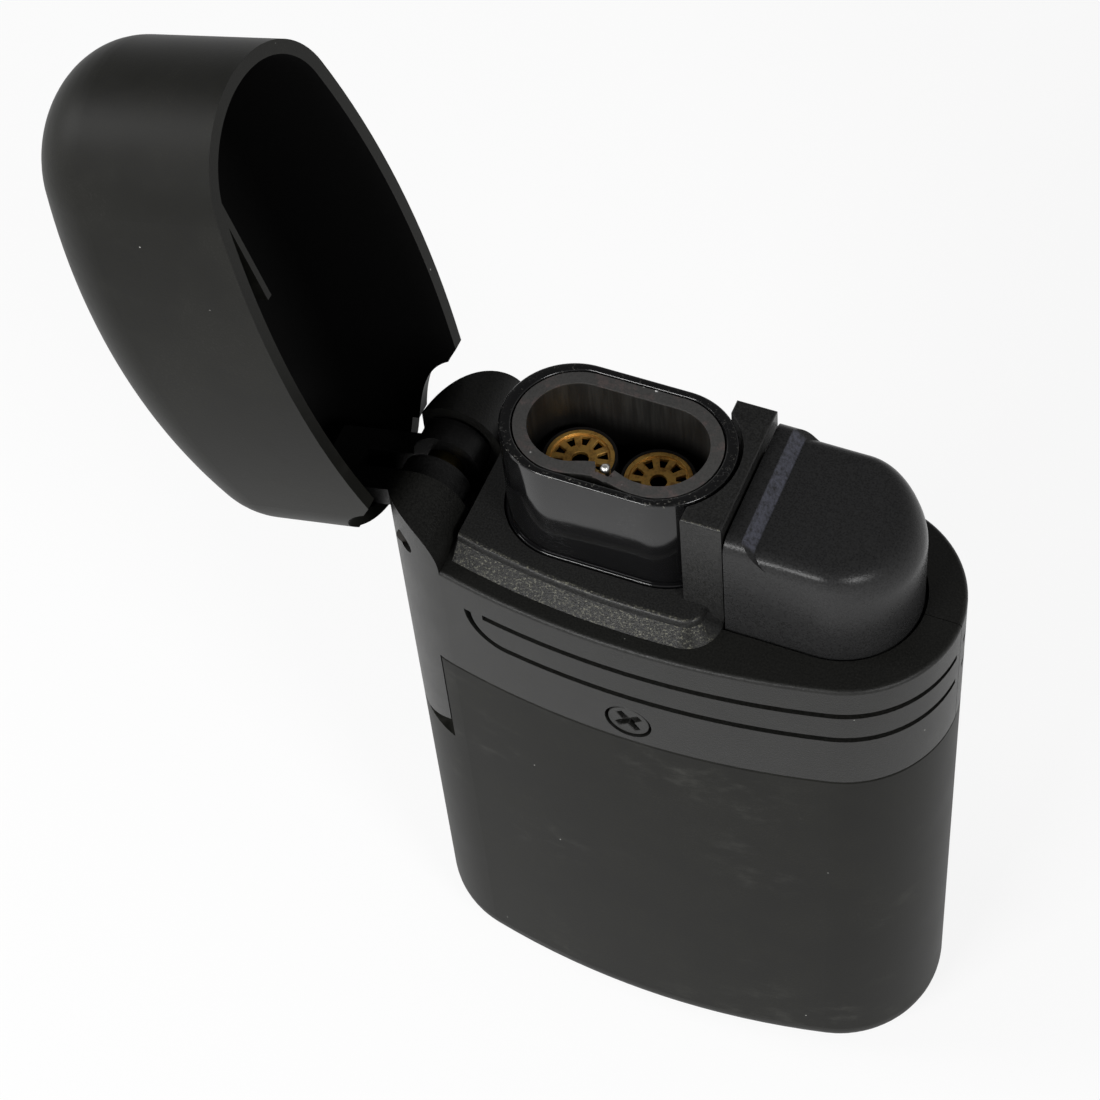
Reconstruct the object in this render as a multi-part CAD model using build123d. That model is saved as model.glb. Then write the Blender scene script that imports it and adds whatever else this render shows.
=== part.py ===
from build123d import *
import os
from math import atan2, cos, degrees, hypot, radians, sin, sqrt

os.makedirs("parts", exist_ok=True)

# A refillable twin-jet lighter with a flip lid, in millimetres.
# +X runs from the hinge end to the button end, -Y is the front, +Z is up.
# The origin is the centre of the face the lighter stands on.
# The model is at rest with its lid open, against the open stop.

# ---------------------------------------------------------------- driving sizes
# Case
case_length = 44.0
case_width = 20.6
end_radius_step = 1.46        # how much smaller the end radius is than half the width
deck_height = 55.2            # base to deck
collar_height = 12.0          # deck down to the collar's lower edge
case_wall = 1.3
floor_thickness = 1.8
base_rounding = 3.5
edge_rounding = 0.35
deck_thickness = 1.7
seam_gap = 0.12               # visible joints between casing pieces
skirt_depth = 3.2             # how far the collar reaches down inside the lower shell
skirt_wall = 1.0
skirt_root = 0.5
tab_length = 11.4             # tongue of the collar at the hinge end
tab_reach = 5.6               # the tongue covers this much of the length, from the end
tab_liner = 1.5               # its inner layer reaches this much further
tab_corner = 2.3
tab_corner_run = 1.3          # the cut corner is this much longer than high

# Grooves and screws on the collar
groove_width = 0.6
groove_depth = 0.5
upper_groove_drop = 3.1       # below the deck
lower_groove_drop = 6.2
upper_groove_start = -11.6
lower_groove_start = -12.9
groove_end_margin = 0.7
screw_drop = 9.6
screw_head_radius = 1.8
screw_head_sink = 0.1
screw_head_height = 0.8        # from the face to the head's seat
screw_cross_length = 1.2
screw_cross_width = 0.27
screw_cross_depth = 0.5
screw_turn = 38.0
screw_shank_radius = 0.9
screw_length = 4.6
screw_fit = 0.06

# Hinge and lid
hinge_inset = 3.4             # hinge axis in from the end of the case
hinge_rise = 0.1              # hinge axis above the deck
open_angle = 105.6
ear_radius = 3.5
ear_inner = 3.1               # half the space between the two ears
ear_root_depth = 4.5
pin_radius = 0.8
pin_fit = 0.02
bearing_fit = 0.06
lid_inset = 0.6               # lid outline in from the case outline
lid_rim_gap = 0.3             # closed lid above the deck
lid_height = 18.3             # deck to the crown, lid closed
lid_crown_radius = 124.0
lid_rounding = 6.2
lid_wall = 1.0
notch_clearance = 0.8
notch_height = 5.0
notch_lead = 1.0
notch_blend = 0.97
fin_start = 7.0
fin_offset = 6.5
fin_wall = 0.5
fin_height = 5.0
fin_lift = 0.2
knuckle_radius = 2.7
knuckle_inner = 0.8
knuckle_side_gap = 0.25
knuckle_height = 10.0
knuckle_depth = 3.0
knuckle_back = 0.6
bush_radius = 1.5
pin_reach = 6.6               # half the pin's length
spring_leaf = 0.3
spring_tip_reach = 1.2        # all from the hinge axis
spring_bend_reach = 0.7
spring_rise_run = 1.9
spring_foot_reach = 4.0
spring_gap = 0.12
recess_depth = 4.4

# Burner
burner_x = -3.98
jet_spacing = 6.07
shroud_x = -3.85
shroud_half_straight = 3.55
shroud_height = 11.05
shroud_wall = 0.6
shroud_gap = 0.1              # between chimney and shroud at the sides
shroud_foot_step = 0.15
shroud_foot_chamfer = 0.13
shroud_foot_height = 1.6
shroud_seat_depth = 1.4
pocket_gap = 0.15
chimney_radius = 4.55
chimney_wall = 1.0
chimney_x = -3.85
chimney_half_straight = 3.2
chimney_depth = 7.0
chimney_sink = 0.05           # rim below the shroud's
crimp_x = -4.1
crimp_half_width = 2.5        # dent in the chimney's front rim
crimp_depth = 0.75
crimp_height = 3.5            # only this much of the wall below the rim
crimp_groove_half_width = 1.2
crimp_groove_depth = 0.3
notch_x = -3.63               # the spark gap's notch in the dent
notch_half_width = 0.65
notch_depth = 0.95            # from the dent's inner face
tube_radius = 2.75
tube_wall = 0.2
air_hole_radius = 0.6
disc_height = 6.86
disc_thickness = 0.5
disc_fit = 0.03
disc_ledge = 0.3
disc_rim = 0.35
disc_rim_height = 0.15
disc_hole_radius = 0.6
disc_slots = 10
disc_slot_inner = 1.35
disc_slot_outer = 2.0
disc_slot_half_angle = 9.0
disc_slot_taper = 0.6         # inner half-angle over the outer one
manifold_thickness = 3.0
manifold_flange = 5.4
manifold_flange_height = 0.9
nipple_length = 2.4
jet_radius = 0.9
jet_bore_radius = 0.2
gas_bore = 0.35
jet_height = 1.2
jet_seat = 1.2
jet_shoulder = 0.4
jet_nose_radius = 0.65
electrode_y = -1.9
insulator_radius = 0.6
insulator_top = 3.0
wire_radius = 0.22
wire_drop = 2.6               # wire end below the manifold
wire_tip = (0.35, -1.1, 1.3)  # from the bend to the middle of the tip
wire_tip_radius = 0.36
lead_radius = 0.45
lead_bend = 0.9
lead_drop = 2.6
lead_step = 3.0
spark_height = 10.7
strip_width = 0.33
strip_thickness = 0.25
strip_drop = 0.3

# Burner housing (the raised piece round the burner)
plateau_inset = 1.4
plateau_height = 1.5
plateau_slope_height = 0.9    # a slope up to here, then a steep step
plateau_run = 1.2             # how far the slope reaches in
plateau_step_run = 0.15
plateau_rounding = 0.35
plateau_left = -14.6
plateau_right = 6.05
plateau_corner = 2.6
housing_half_width = 6.0
housing_depth = 7.2
housing_step = 0.7            # the body starts this far in from the plateau's end
housing_wall = 1.3
heat_wall_left = 3.0
heat_wall_right = 6.05
heat_wall_half_width = 5.65
heat_wall_height = 11.1
heat_wall_edge = 0.2

# Button and igniter
slot_half_width = 6.2         # opening in the deck for the housing and the button
button_x = 13.0               # centre of the button's round end
button_gap = 0.25
button_left_gap = 0.2
button_height = 9.3
button_lip_height = 10.1
button_lip_width = 1.15
button_ramp = 0.85
button_rounding = 1.2
button_end_rounding = 3.2     # larger rounding of the round end, seen from the front
button_turns = (0, 10, 20, 30, 40, 55, 65, 75, 83, 90)  # levels of the rounding, in degrees of its turn
button_leads = (1.5, 1.2, 0.8, 0.4)  # levels of the straight part below it
button_foot_half = 1.5
button_foot_reach = 0.5       # past the lever's contact point
button_wall = 1.2
plunger_drop = 3.6            # button's seat on the igniter, below the deck
button_flange = 0.8
button_flange_height = 0.9
button_stop_gap = 0.1
button_travel = 3.0
piezo_x = 12.6
piezo_length = 8.0
piezo_width = 6.0
piezo_height = 15.0
plunger_length = 5.6
plunger_width = 3.8
plunger_fit = 0.15
plunger_free = 5.4            # plunger out of the igniter body at rest
plunger_hold = 3.4            # and the part still inside
piezo_bore_depth = 9.5
piezo_spring_radius = 1.7
spring_wire = 0.35

# Chassis
chassis_left = -12.5
chassis_right = 17.8
chassis_wall = 1.2
chassis_half_gap = 4.6
boss_radius = 1.75
seat_gap = 0.05

# Gas lever
lever_pivot_x = -1.3
lever_reach = 8.8             # pivot to the button's foot
lever_angle = 19.5            # swing over the whole button travel
lever_drop = 19.0             # lever's pivot below the deck
lever_half_width = 2.4
lever_thickness = 1.0
lever_hub_radius = 1.5
lever_pin_radius = 0.75
lever_step = 0.6              # the bar is this much narrower than its hub, each side
lever_nose = 0.4              # the bar's end past the button's foot
lever_lead = 0.85             # foot's level over the bar's middle, in bar thicknesses
fork_reach = 3.9
fork_fit = 0.25
fork_web = 0.2

# Tank and valves
tank_gap = 0.3
tank_wall = 1.0
gear_room = 31.4              # deck down to the tank's top
tank_cover_thickness = 1.6
valve_radius = 2.4
valve_height = 6.2
valve_flange_radius = 3.2
valve_flange_height = 1.2
stem_radius = 0.8
chamber_radius = 1.6
chamber_height = 3.6
chamber_floor = 0.8
stem_foot_gap = 0.3
stem_flange = 0.6
seal_wall = 0.2
valve_spring_wire = 0.2
stem_collar_radius = 1.3
stem_collar_height = 0.6
stem_lift = 0.8
stem_collar_rise = 0.42       # collar above the lever's axis at rest
hose_y = 3.3                  # the gas hose runs behind the valve
hose_radius = 1.1
hose_bore = 0.6
arm_wall = 0.4
adjuster_head_radius = 2.6
adjuster_head_height = 1.6
adjuster_shaft_radius = 1.1
adjuster_slot_width = 0.8
adjuster_slot_depth = 0.7
sleeve_wall = 0.8
filter_radius = 3.2
running_gap = 0.08
base_recess = 0.4             # valves stay this far above the standing face
fill_x = 9.0
fill_collar_height = 3.0      # the tank's sleeve round the refill valve
fill_body_radius = 3.0
fill_body_height = 9.0
fill_bore_radius = 1.75
fill_bore_depth = 2.1
fill_stem_radius = 1.2
fill_stem_length = 2.5
fill_nose_radius = 0.8
fill_nose_length = 0.9
fill_lip = 0.5
fill_gasket = 0.5
fill_gasket_radius = 1.55
seal_section = 0.45
seal_gap = 0.02

# ---------------------------------------------------------------- derived sizes
half_length = case_length / 2
half_width = case_width / 2
end_radius = half_width - end_radius_step
end_centre = half_length - end_radius
side_radius = (end_centre ** 2 / end_radius_step + end_radius + half_width) / 2
collar_z = deck_height - collar_height
shell_top = collar_z - seam_gap
hinge_x = hinge_inset - half_length
hinge_z = deck_height + hinge_rise
tab_edge_x = tab_reach - half_length
screw_z = deck_height - screw_drop
jet_x = (burner_x - jet_spacing / 2, burner_x + jet_spacing / 2)
tank_floor = floor_thickness
tank_top = deck_height - gear_room
cover_top = tank_top + tank_cover_thickness
head_top = base_recess + adjuster_head_height
seal_top = head_top + running_gap + 2 * seal_section
seal_room = seal_top - tank_floor + tank_wall
valve_top = cover_top + valve_height
chamber_low = cover_top + chamber_floor
chamber_top = chamber_low + chamber_height
stem_foot = chamber_low + stem_foot_gap
spring_low = stem_foot + stem_flange
stem_seal_z = chamber_top + seal_wall + seal_section
fill_bore_top = base_recess + fill_bore_depth
fill_gasket_top = fill_bore_top + fill_gasket
fill_seat = fill_gasket_top + fill_lip
manifold_top = deck_height - chimney_depth
manifold_low = manifold_top - manifold_thickness
shroud_radius = chimney_radius + shroud_gap + shroud_wall
inner_inset = case_wall + seam_gap + skirt_wall
lever_height = deck_height - lever_drop
lever_start = lever_angle / 2          # the lever starts this far up and ends as far down
lever_contact_z = lever_height + lever_reach * sin(radians(lever_start)) + lever_lead * lever_thickness
piezo_top = deck_height - plunger_drop - plunger_free
piezo_low = piezo_top - piezo_height
far = 2 * case_length         # longer than anything it cuts


# ---------------------------------------------------------------- helpers
def case_plan(inset=0.0):
    """The oval plan of the case, moved in by inset: two side arcs and two end arcs."""
    centre_drop = side_radius - half_width
    length = hypot(end_centre, centre_drop)
    join_x = end_centre + (end_radius - inset) * end_centre / length
    join_y = (end_radius - inset) * centre_drop / length
    side = half_width - inset
    end = half_length - inset
    edges = [
        ThreePointArc((-join_x, -join_y), (0, -side), (join_x, -join_y)),
        ThreePointArc((join_x, -join_y), (end, 0), (join_x, join_y)),
        ThreePointArc((join_x, join_y), (0, side), (-join_x, join_y)),
        ThreePointArc((-join_x, join_y), (-end, 0), (-join_x, -join_y)),
    ]
    return make_face(edges)


def prism(face, low, high):
    """A flat face drawn at z = 0, raised from low to high."""
    return extrude(Pos(0, 0, low) * face, high - low, dir=(0, 0, 1))


def block(x, y, z):
    """A box from three (low, high) pairs."""
    size = (x[1] - x[0], y[1] - y[0], z[1] - z[0])
    centre = ((x[0] + x[1]) / 2, (y[0] + y[1]) / 2, (z[0] + z[1]) / 2)
    return Pos(*centre) * Box(*size)


def post(x, y, radius, low, high):
    """A round bar along Z."""
    return Pos(x, y, (low + high) / 2) * Cylinder(radius, high - low)


def cross_bar(x, z, radius, low, high):
    """A round bar along Y."""
    return Pos(x, (low + high) / 2, z) * Rot(90, 0, 0) * Cylinder(radius, abs(high - low))


def stadium(x, half_straight, radius):
    """A long slot shape along X, drawn at z = 0."""
    edges = [
        Line((x - half_straight, -radius), (x + half_straight, -radius)),
        ThreePointArc(
            (x + half_straight, -radius), (x + half_straight + radius, 0), (x + half_straight, radius)
        ),
        Line((x + half_straight, radius), (x - half_straight, radius)),
        ThreePointArc(
            (x - half_straight, radius), (x - half_straight - radius, 0), (x - half_straight, -radius)
        ),
    ]
    return make_face(edges)


def side_profile(points, low, high):
    """A polygon of (x, z) points, stretched along Y from low to high."""
    wire = Polyline(*[(x, 0, z) for x, z in points], close=True)
    return extrude(Pos(0, low, 0) * make_face(wire), high - low, dir=(0, 1, 0))


def coil(x, y, radius, wire, low, high, turns):
    """A compression spring on a vertical axis, its wire inside low to high."""
    start = low + wire
    rise = high - low - 2 * wire
    path = Helix(pitch=rise / turns, height=rise, radius=radius, center=(x, y, start))
    section = Plane(origin=path @ 0, z_dir=path % 0) * Circle(wire)
    return sweep(section, path=path, is_frenet=True)


def seal_ring(x, y, inner, section, z):
    """A rubber ring round a stem."""
    return Pos(x, y, z) * Torus(inner + section, section)


def opened(part):
    """Turns a piece of the lid from closed to the open rest position."""
    return part.rotate(Axis((hinge_x, 0, hinge_z), (0, 1, 0)), -open_angle)


def button_plan(inset, left):
    """The button's D-shaped plan: straight at the heat wall, round at the far end."""
    radius = slot_half_width - inset
    edges = [
        Line((left, -radius), (button_x, -radius)),
        ThreePointArc((button_x, -radius), (button_x + radius, 0), (button_x, radius)),
        Line((button_x, radius), (left, radius)),
        Line((left, radius), (left, -radius)),
    ]
    return make_face(edges)


# ---------------------------------------------------------------- lower casing
def tongue_region(edge_x, length, corner):
    """The hinge end of the case below the collar, seen from the front, as a cutter."""
    low = collar_z - length
    points = [(-far, low), (-far, collar_z + 1), (edge_x, collar_z + 1), (edge_x, low + corner)]
    if corner > 0:
        points.append((edge_x - tab_corner_run * corner, low))
    return side_profile(points, -far, far)


def make_lower_shell():
    outer = prism(case_plan(), 0, shell_top)
    outer = fillet(outer.edges().group_by(Axis.Z)[0], base_rounding)
    outer = fillet(outer.edges().group_by(Axis.Z)[-1], edge_rounding / 2)
    cavity = prism(case_plan(case_wall), floor_thickness, shell_top + 1)
    cavity = fillet(cavity.edges().group_by(Axis.Z)[0], base_rounding - case_wall)
    shell = outer - cavity
    shell -= block((-far, tab_edge_x + seam_gap), (-far, far), (collar_z - tab_length - seam_gap, far))
    shell -= post(fill_x, 0, fill_body_radius + running_gap, -1, floor_thickness + 1)
    shell -= post(burner_x, 0, adjuster_head_radius + running_gap, -1, floor_thickness + 1)
    return shell


# ---------------------------------------------------------------- collar halves
def groove_cutter():
    """Two parallel grooves on the front face; the lower one hooks up at the hinge end."""
    half = groove_width / 2
    upper = deck_height - upper_groove_drop
    lower = deck_height - lower_groove_drop
    bend = lower_groove_drop - upper_groove_drop
    end = far
    cutter = block((upper_groove_start, end), (-far, -groove_end_margin), (upper - half, upper + half))
    cutter += block(
        (lower_groove_start + bend, end), (-far, -groove_end_margin), (lower - half, lower + half)
    )
    hook_x = lower_groove_start + bend
    ring = cross_bar(hook_x, upper, bend + half, -far, -groove_end_margin)
    ring -= cross_bar(hook_x, upper, bend - half, -far - 1, 0)
    quarter = block((hook_x - 2 * bend, hook_x), (-far, 0), (lower - bend, upper))
    return cutter + (ring & quarter)


def ear(side):
    """A hinge ear: a round lobe whose outer face follows the case outline."""
    low = deck_height - ear_root_depth
    span = (ear_inner, far) if side > 0 else (-far, -ear_inner)
    lobe = cross_bar(hinge_x, hinge_z, ear_radius, span[0], span[1])
    lobe += block((hinge_x - ear_radius, hinge_x + ear_radius), span, (low, hinge_z))
    return lobe & prism(case_plan(), low, hinge_z + ear_radius)


def make_collar(side):
    outer = prism(case_plan(), collar_z, deck_height)
    outer = fillet(outer.edges().group_by(Axis.Z)[-1], edge_rounding)
    collar = outer - prism(case_plan(case_wall), collar_z - 1, deck_height - deck_thickness)
    skirt = prism(case_plan(case_wall + seam_gap), collar_z - skirt_depth, collar_z)
    skirt += prism(case_plan(case_wall / 2), collar_z, collar_z + skirt_root)
    skirt -= prism(case_plan(inner_inset), collar_z - skirt_depth - 1, collar_z + 1)
    collar += skirt
    tongue = prism(case_plan(), collar_z - tab_length, collar_z + 1)
    tongue -= prism(case_plan(inner_inset), 0, far)
    collar += tongue & tongue_region(tab_edge_x, tab_length, tab_corner)
    liner = prism(case_plan(case_wall + seam_gap), collar_z - tab_length - tab_liner, collar_z)
    liner -= prism(case_plan(inner_inset), 0, far)
    collar += liner & tongue_region(tab_edge_x + tab_liner, tab_length + tab_liner, 0)
    collar += ear(side)
    ring = prism(case_plan(-1), collar_z, deck_height) - prism(case_plan(groove_depth), 0, far)
    grooves = groove_cutter()
    if side > 0:
        grooves = mirror(grooves, about=Plane.XZ)
    collar -= ring & grooves
    opening = prism(button_plan(0, plateau_left + housing_step - seam_gap), collar_z - 1, deck_height + 1)
    opening += block((-far, plateau_left + 1), (-ear_inner, ear_inner), (deck_height - recess_depth, far))
    collar -= opening
    collar -= cross_bar(hinge_x, hinge_z, pin_radius + pin_fit, -far, far)
    head_seat = side * (half_width - screw_head_height)
    collar -= cross_bar(0, screw_z, screw_head_radius + screw_fit, head_seat, side * far)
    collar -= cross_bar(0, screw_z, screw_shank_radius + screw_fit, 0, side * far)
    span = sorted((side * seam_gap / 4, side * far))
    return collar & block((-far, far), span, (0, far))


def make_collar_screws():
    """Two cross-head screws, one through each collar half into the chassis."""
    screws = []
    length = screw_cross_length
    width = screw_cross_width
    for side in (-1, 1):
        face = side * (half_width - screw_head_sink)
        head_seat = side * (half_width - screw_head_height)
        tip = side * (half_width - screw_length)
        screw = cross_bar(0, screw_z, screw_head_radius, head_seat, face)
        screw += cross_bar(0, screw_z, screw_shank_radius, tip, head_seat)
        span = sorted((face - side * screw_cross_depth, face + side))
        cross = block((-length, length), span, (-width, width))
        cross += block((-width, width), span, (-length, length))
        screw -= Pos(0, 0, screw_z) * Rot(0, screw_turn, 0) * cross
        screws.append(screw)
    return Compound(children=screws)


# ---------------------------------------------------------------- lid and hinge
def lid_form(inset, low):
    """The lid as a closed block: oval plan, crowned top, rounded edge."""
    crown_centre = deck_height + lid_height - lid_crown_radius
    form = prism(case_plan(lid_inset + inset), low, deck_height + lid_height + 1)
    form &= cross_bar(0, crown_centre, lid_crown_radius - inset, -far, far)
    edges = [edge for edge in form.edges() if edge.bounding_box().min.Z > deck_height + lid_height / 2]
    return fillet(edges, lid_rounding - inset)


def make_lid_shell():
    low = deck_height + lid_rim_gap
    lid = lid_form(0, low) - lid_form(lid_wall, low - 2)
    fin_y = (-fin_offset - fin_wall, -fin_offset)
    fin = block((fin_start, half_length), fin_y, (low + fin_lift, low + fin_height))
    lid += fin & prism(case_plan(lid_inset + lid_wall / 2), low, far)
    notch_radius = ear_radius + notch_clearance
    lid -= cross_bar(hinge_x, hinge_z, notch_radius, -far, far)
    lid -= block((-far, hinge_x), (-far, far), (low - 1, deck_height + notch_height))
    lead = [
        (hinge_x, low - 1),
        (hinge_x + notch_radius + notch_lead, low - 1),
        (hinge_x + notch_radius + notch_lead, low),
        (hinge_x + notch_radius * notch_blend, low + notch_lead),
        (hinge_x, low + notch_lead),
    ]
    lid -= side_profile(lead, -far, far)
    return opened(lid)


def make_lid_knuckle():
    """Two cheeks on the hinge pin, joined by a foot fixed to the lid's end wall."""
    outer = ear_inner - knuckle_side_gap
    top = deck_height + knuckle_height
    arm = cross_bar(hinge_x, hinge_z, knuckle_radius, -outer, outer)
    arm += block((-far, hinge_x + knuckle_back), (-outer, outer), (hinge_z, top))
    arm &= prism(case_plan(lid_inset + lid_wall), 0, far)
    arm -= block((-far, far), (-knuckle_inner, knuckle_inner), (0, top - knuckle_depth))
    arm -= cross_bar(hinge_x, hinge_z, pin_radius + bearing_fit, -far, far)
    return opened(arm)


def make_hinge_bush():
    """A brass bush on the pin between the lid's two cheeks."""
    half = knuckle_inner - seat_gap
    bush = cross_bar(hinge_x, hinge_z, bush_radius, -half, half)
    return opened(bush - cross_bar(hinge_x, hinge_z, pin_radius + bearing_fit, -far, far))


def make_hinge_pin():
    return cross_bar(hinge_x, hinge_z, pin_radius, -pin_reach, pin_reach)


def make_lid_spring():
    """A leaf spring on the recess floor; its tip rests under the bush and holds the lid."""
    half = knuckle_inner - spring_gap
    high = hinge_z - bush_radius - spring_gap
    foot = deck_height - recess_depth
    leaf = spring_leaf
    tip_x = hinge_x - spring_tip_reach
    end_x = hinge_x + spring_foot_reach
    bend_x = hinge_x + spring_bend_reach
    low_x = bend_x + spring_rise_run
    points = [
        (end_x, foot),
        (low_x, foot),
        (bend_x, high - leaf),
        (tip_x, high - leaf),
        (tip_x, high),
        (bend_x + leaf / 2, high),
        (low_x + 2 * leaf / 3, foot + leaf),
        (end_x, foot + leaf),
    ]
    return side_profile(points, -half, half)


# ---------------------------------------------------------------- burner
def make_burner_housing():
    limit = Pos(plateau_right - half_length, 0) * Rectangle(case_length, case_width)
    foot = case_plan(plateau_inset) & limit
    foot = fillet(foot.vertices().group_by(Axis.X)[-1], plateau_corner)
    slope_angle = degrees(atan2(plateau_run, plateau_slope_height))
    plateau = extrude(Pos(0, 0, deck_height) * foot, plateau_slope_height, dir=(0, 0, 1), taper=slope_angle)
    step_height = plateau_height - plateau_slope_height
    top = plateau.faces().sort_by(Axis.Z)[-1]
    plateau += extrude(top, step_height, dir=(0, 0, 1), taper=degrees(atan2(plateau_step_run, step_height)))
    plateau = fillet(plateau.edges().group_by(Axis.Z)[-1], plateau_rounding)
    plateau -= block((-far, plateau_left), (-far, far), (0, far))
    low = deck_height - housing_depth
    body_span = (plateau_left + housing_step, plateau_right)
    body = block(body_span, (-housing_half_width, housing_half_width), (low, deck_height))
    wall = block(
        (heat_wall_left, heat_wall_right),
        (-heat_wall_half_width, heat_wall_half_width),
        (low, deck_height + heat_wall_height),
    )
    wall = fillet(wall.edges().group_by(Axis.Z)[-1], heat_wall_edge)
    floor_z = deck_height - recess_depth
    recess_half = ear_inner - pocket_gap
    recess_low = floor_z - housing_wall
    floor = block((-half_length, plateau_left + 2), (-recess_half, recess_half), (recess_low, floor_z))
    floor &= prism(case_plan(case_wall + seat_gap), 0, far)
    step = block((plateau_left, plateau_left + 1), (-recess_half, recess_half), (recess_low, deck_height))
    housing = plateau + body + wall + floor + step
    pocket = stadium(shroud_x, shroud_half_straight, shroud_radius + shroud_foot_step + pocket_gap)
    housing -= prism(pocket, deck_height - shroud_seat_depth, far)
    bore = stadium(chimney_x, chimney_half_straight, chimney_radius + pocket_gap)
    housing -= prism(bore, 0, far)
    return housing


def make_burner_shroud():
    low = deck_height - shroud_seat_depth
    top = deck_height + shroud_height
    foot_top = deck_height + shroud_foot_height
    shroud = prism(stadium(shroud_x, shroud_half_straight, shroud_radius), low, top)
    shroud = fillet(shroud.edges().group_by(Axis.Z)[-1], shroud_wall / 3)
    foot = prism(stadium(shroud_x, shroud_half_straight, shroud_radius + shroud_foot_step), low, foot_top)
    foot = chamfer(foot.edges().group_by(Axis.Z)[-1], shroud_foot_chamfer)
    shroud += foot
    return shroud - prism(stadium(chimney_x, chimney_half_straight, chimney_radius + shroud_gap), 0, far)


def dent_post(inner_y, half_width, depth, low):
    """A round post whose side makes a dent this wide and deep, reaching inwards to inner_y."""
    radius = (half_width ** 2 + depth ** 2) / (2 * depth)
    return post(crimp_x, inner_y - radius, radius, low, far)


def make_chimney():
    top = deck_height + shroud_height - chimney_sink
    low = top - crimp_height
    outer = prism(stadium(chimney_x, chimney_half_straight, chimney_radius), manifold_top, top)
    inner = prism(stadium(chimney_x, chimney_half_straight, chimney_radius - chimney_wall), 0, far)
    inner -= dent_post(chimney_wall - chimney_radius + crimp_depth, crimp_half_width, crimp_depth, low)
    chimney = outer - inner
    chimney -= dent_post(crimp_groove_depth - chimney_radius, crimp_groove_half_width, crimp_groove_depth, low)
    notch_y = chimney_wall - chimney_radius + crimp_depth
    notch = (notch_x - notch_half_width, notch_x + notch_half_width)
    return chimney - block(notch, (notch_y - notch_depth, 0), (low, far))


def make_burner_tube(x):
    """A mixing tube with four air holes; the flame disc sits in its mouth."""
    ledge = deck_height + disc_height - disc_thickness
    bore = tube_radius - tube_wall
    tube = post(x, 0, tube_radius, manifold_top, deck_height + disc_height)
    tube -= post(x, 0, bore, manifold_top - 1, ledge - tube_wall)
    tube -= post(x, 0, bore, ledge, far)
    tube -= post(x, 0, bore - disc_ledge, 0, far)
    air_z = manifold_top + jet_height + air_hole_radius
    air_hole = Cylinder(air_hole_radius, 3 * tube_radius)
    tube -= Pos(x, 0, air_z) * Rot(0, 90, 0) * air_hole
    return tube - Pos(x, 0, air_z) * Rot(90, 0, 0) * air_hole


def make_flame_disc(x):
    """A pierced disc with a raised rim, a centre hole and a ring of slots."""
    radius = tube_radius - tube_wall - disc_fit
    top = deck_height + disc_height
    disc = post(x, 0, radius, top - disc_thickness, top)
    disc -= post(x, 0, radius - disc_rim, top - disc_rim_height, top + 1)
    disc -= post(x, 0, disc_hole_radius, 0, far)
    for index in range(disc_slots):
        angle = 360 / disc_slots * (index + 0.5)
        inner = radians(disc_slot_half_angle * disc_slot_taper)
        outer = radians(disc_slot_half_angle)
        corners = [
            (disc_slot_inner * cos(-inner), disc_slot_inner * sin(-inner)),
            (disc_slot_outer * cos(-outer), disc_slot_outer * sin(-outer)),
            (disc_slot_outer * cos(outer), disc_slot_outer * sin(outer)),
            (disc_slot_inner * cos(inner), disc_slot_inner * sin(inner)),
        ]
        slot = make_face(Polyline(*corners, close=True))
        disc -= Pos(x, 0, 0) * Rot(0, 0, angle) * prism(slot, 0, far)
    return disc


def make_manifold():
    gallery_z = (manifold_low + manifold_top - jet_seat) / 2 + gas_bore
    plate = prism(stadium(chimney_x, chimney_half_straight, chimney_radius), manifold_low, manifold_top)
    flange = stadium(chimney_x, chimney_half_straight, manifold_flange)
    plate += prism(flange, manifold_low, manifold_low + manifold_flange_height)
    for x in jet_x:
        plate -= post(x, 0, jet_radius + seal_gap, manifold_top - jet_seat, far)
        plate -= post(x, 0, gas_bore, gallery_z, manifold_top)
    plate -= Pos(burner_x, 0, gallery_z) * Rot(0, 90, 0) * Cylinder(gas_bore, jet_spacing)
    duct = (gallery_z - gas_bore, gallery_z + gas_bore)
    plate -= block((burner_x - gas_bore, burner_x + gas_bore), (0, hose_y), duct)
    plate += post(burner_x, hose_y, hose_bore - seal_gap, manifold_low - nipple_length, manifold_low)
    plate -= post(burner_x, electrode_y, insulator_radius + seal_gap, 0, far)
    return plate - post(burner_x, hose_y, gas_bore, 0, gallery_z)


def make_jet(x):
    jet = post(x, 0, jet_radius, manifold_top - jet_seat, manifold_top + jet_shoulder)
    jet += post(x, 0, jet_nose_radius, manifold_top, manifold_top + jet_height)
    return jet - post(x, 0, jet_bore_radius, 0, far)


def make_electrode_insulator():
    low = manifold_low - wire_drop / 2
    sleeve = post(burner_x, electrode_y, insulator_radius, low, deck_height + insulator_top)
    return sleeve - post(burner_x, electrode_y, wire_radius + seal_gap, 0, far)


def make_electrode_wire():
    """The spark wire, its rounded tip bent into the notch in the chimney's front rim."""
    low = manifold_low - wire_drop
    bend = (burner_x, electrode_y, deck_height + spark_height - wire_tip[2])
    end = (bend[0] + wire_tip[0], bend[1] + wire_tip[1], bend[2] + wire_tip[2])
    wire = post(burner_x, electrode_y, wire_radius, low, bend[2])
    wire += Pos(*bend) * Sphere(wire_radius)
    slope = Plane(origin=bend, z_dir=wire_tip)
    wire += extrude(slope * Circle(wire_radius), Vector(*wire_tip).length)
    return wire + Pos(*end) * Sphere(wire_tip_radius)


def make_ground_strip():
    """A thin brass strip up the chimney's inner wall into the notch, the spark's return path."""
    y = chimney_wall - chimney_radius
    x = notch_x - notch_half_width + seal_gap
    top = deck_height + shroud_height - strip_drop
    return block((x, x + strip_width), (y, y + strip_thickness), (manifold_top, top))


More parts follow.
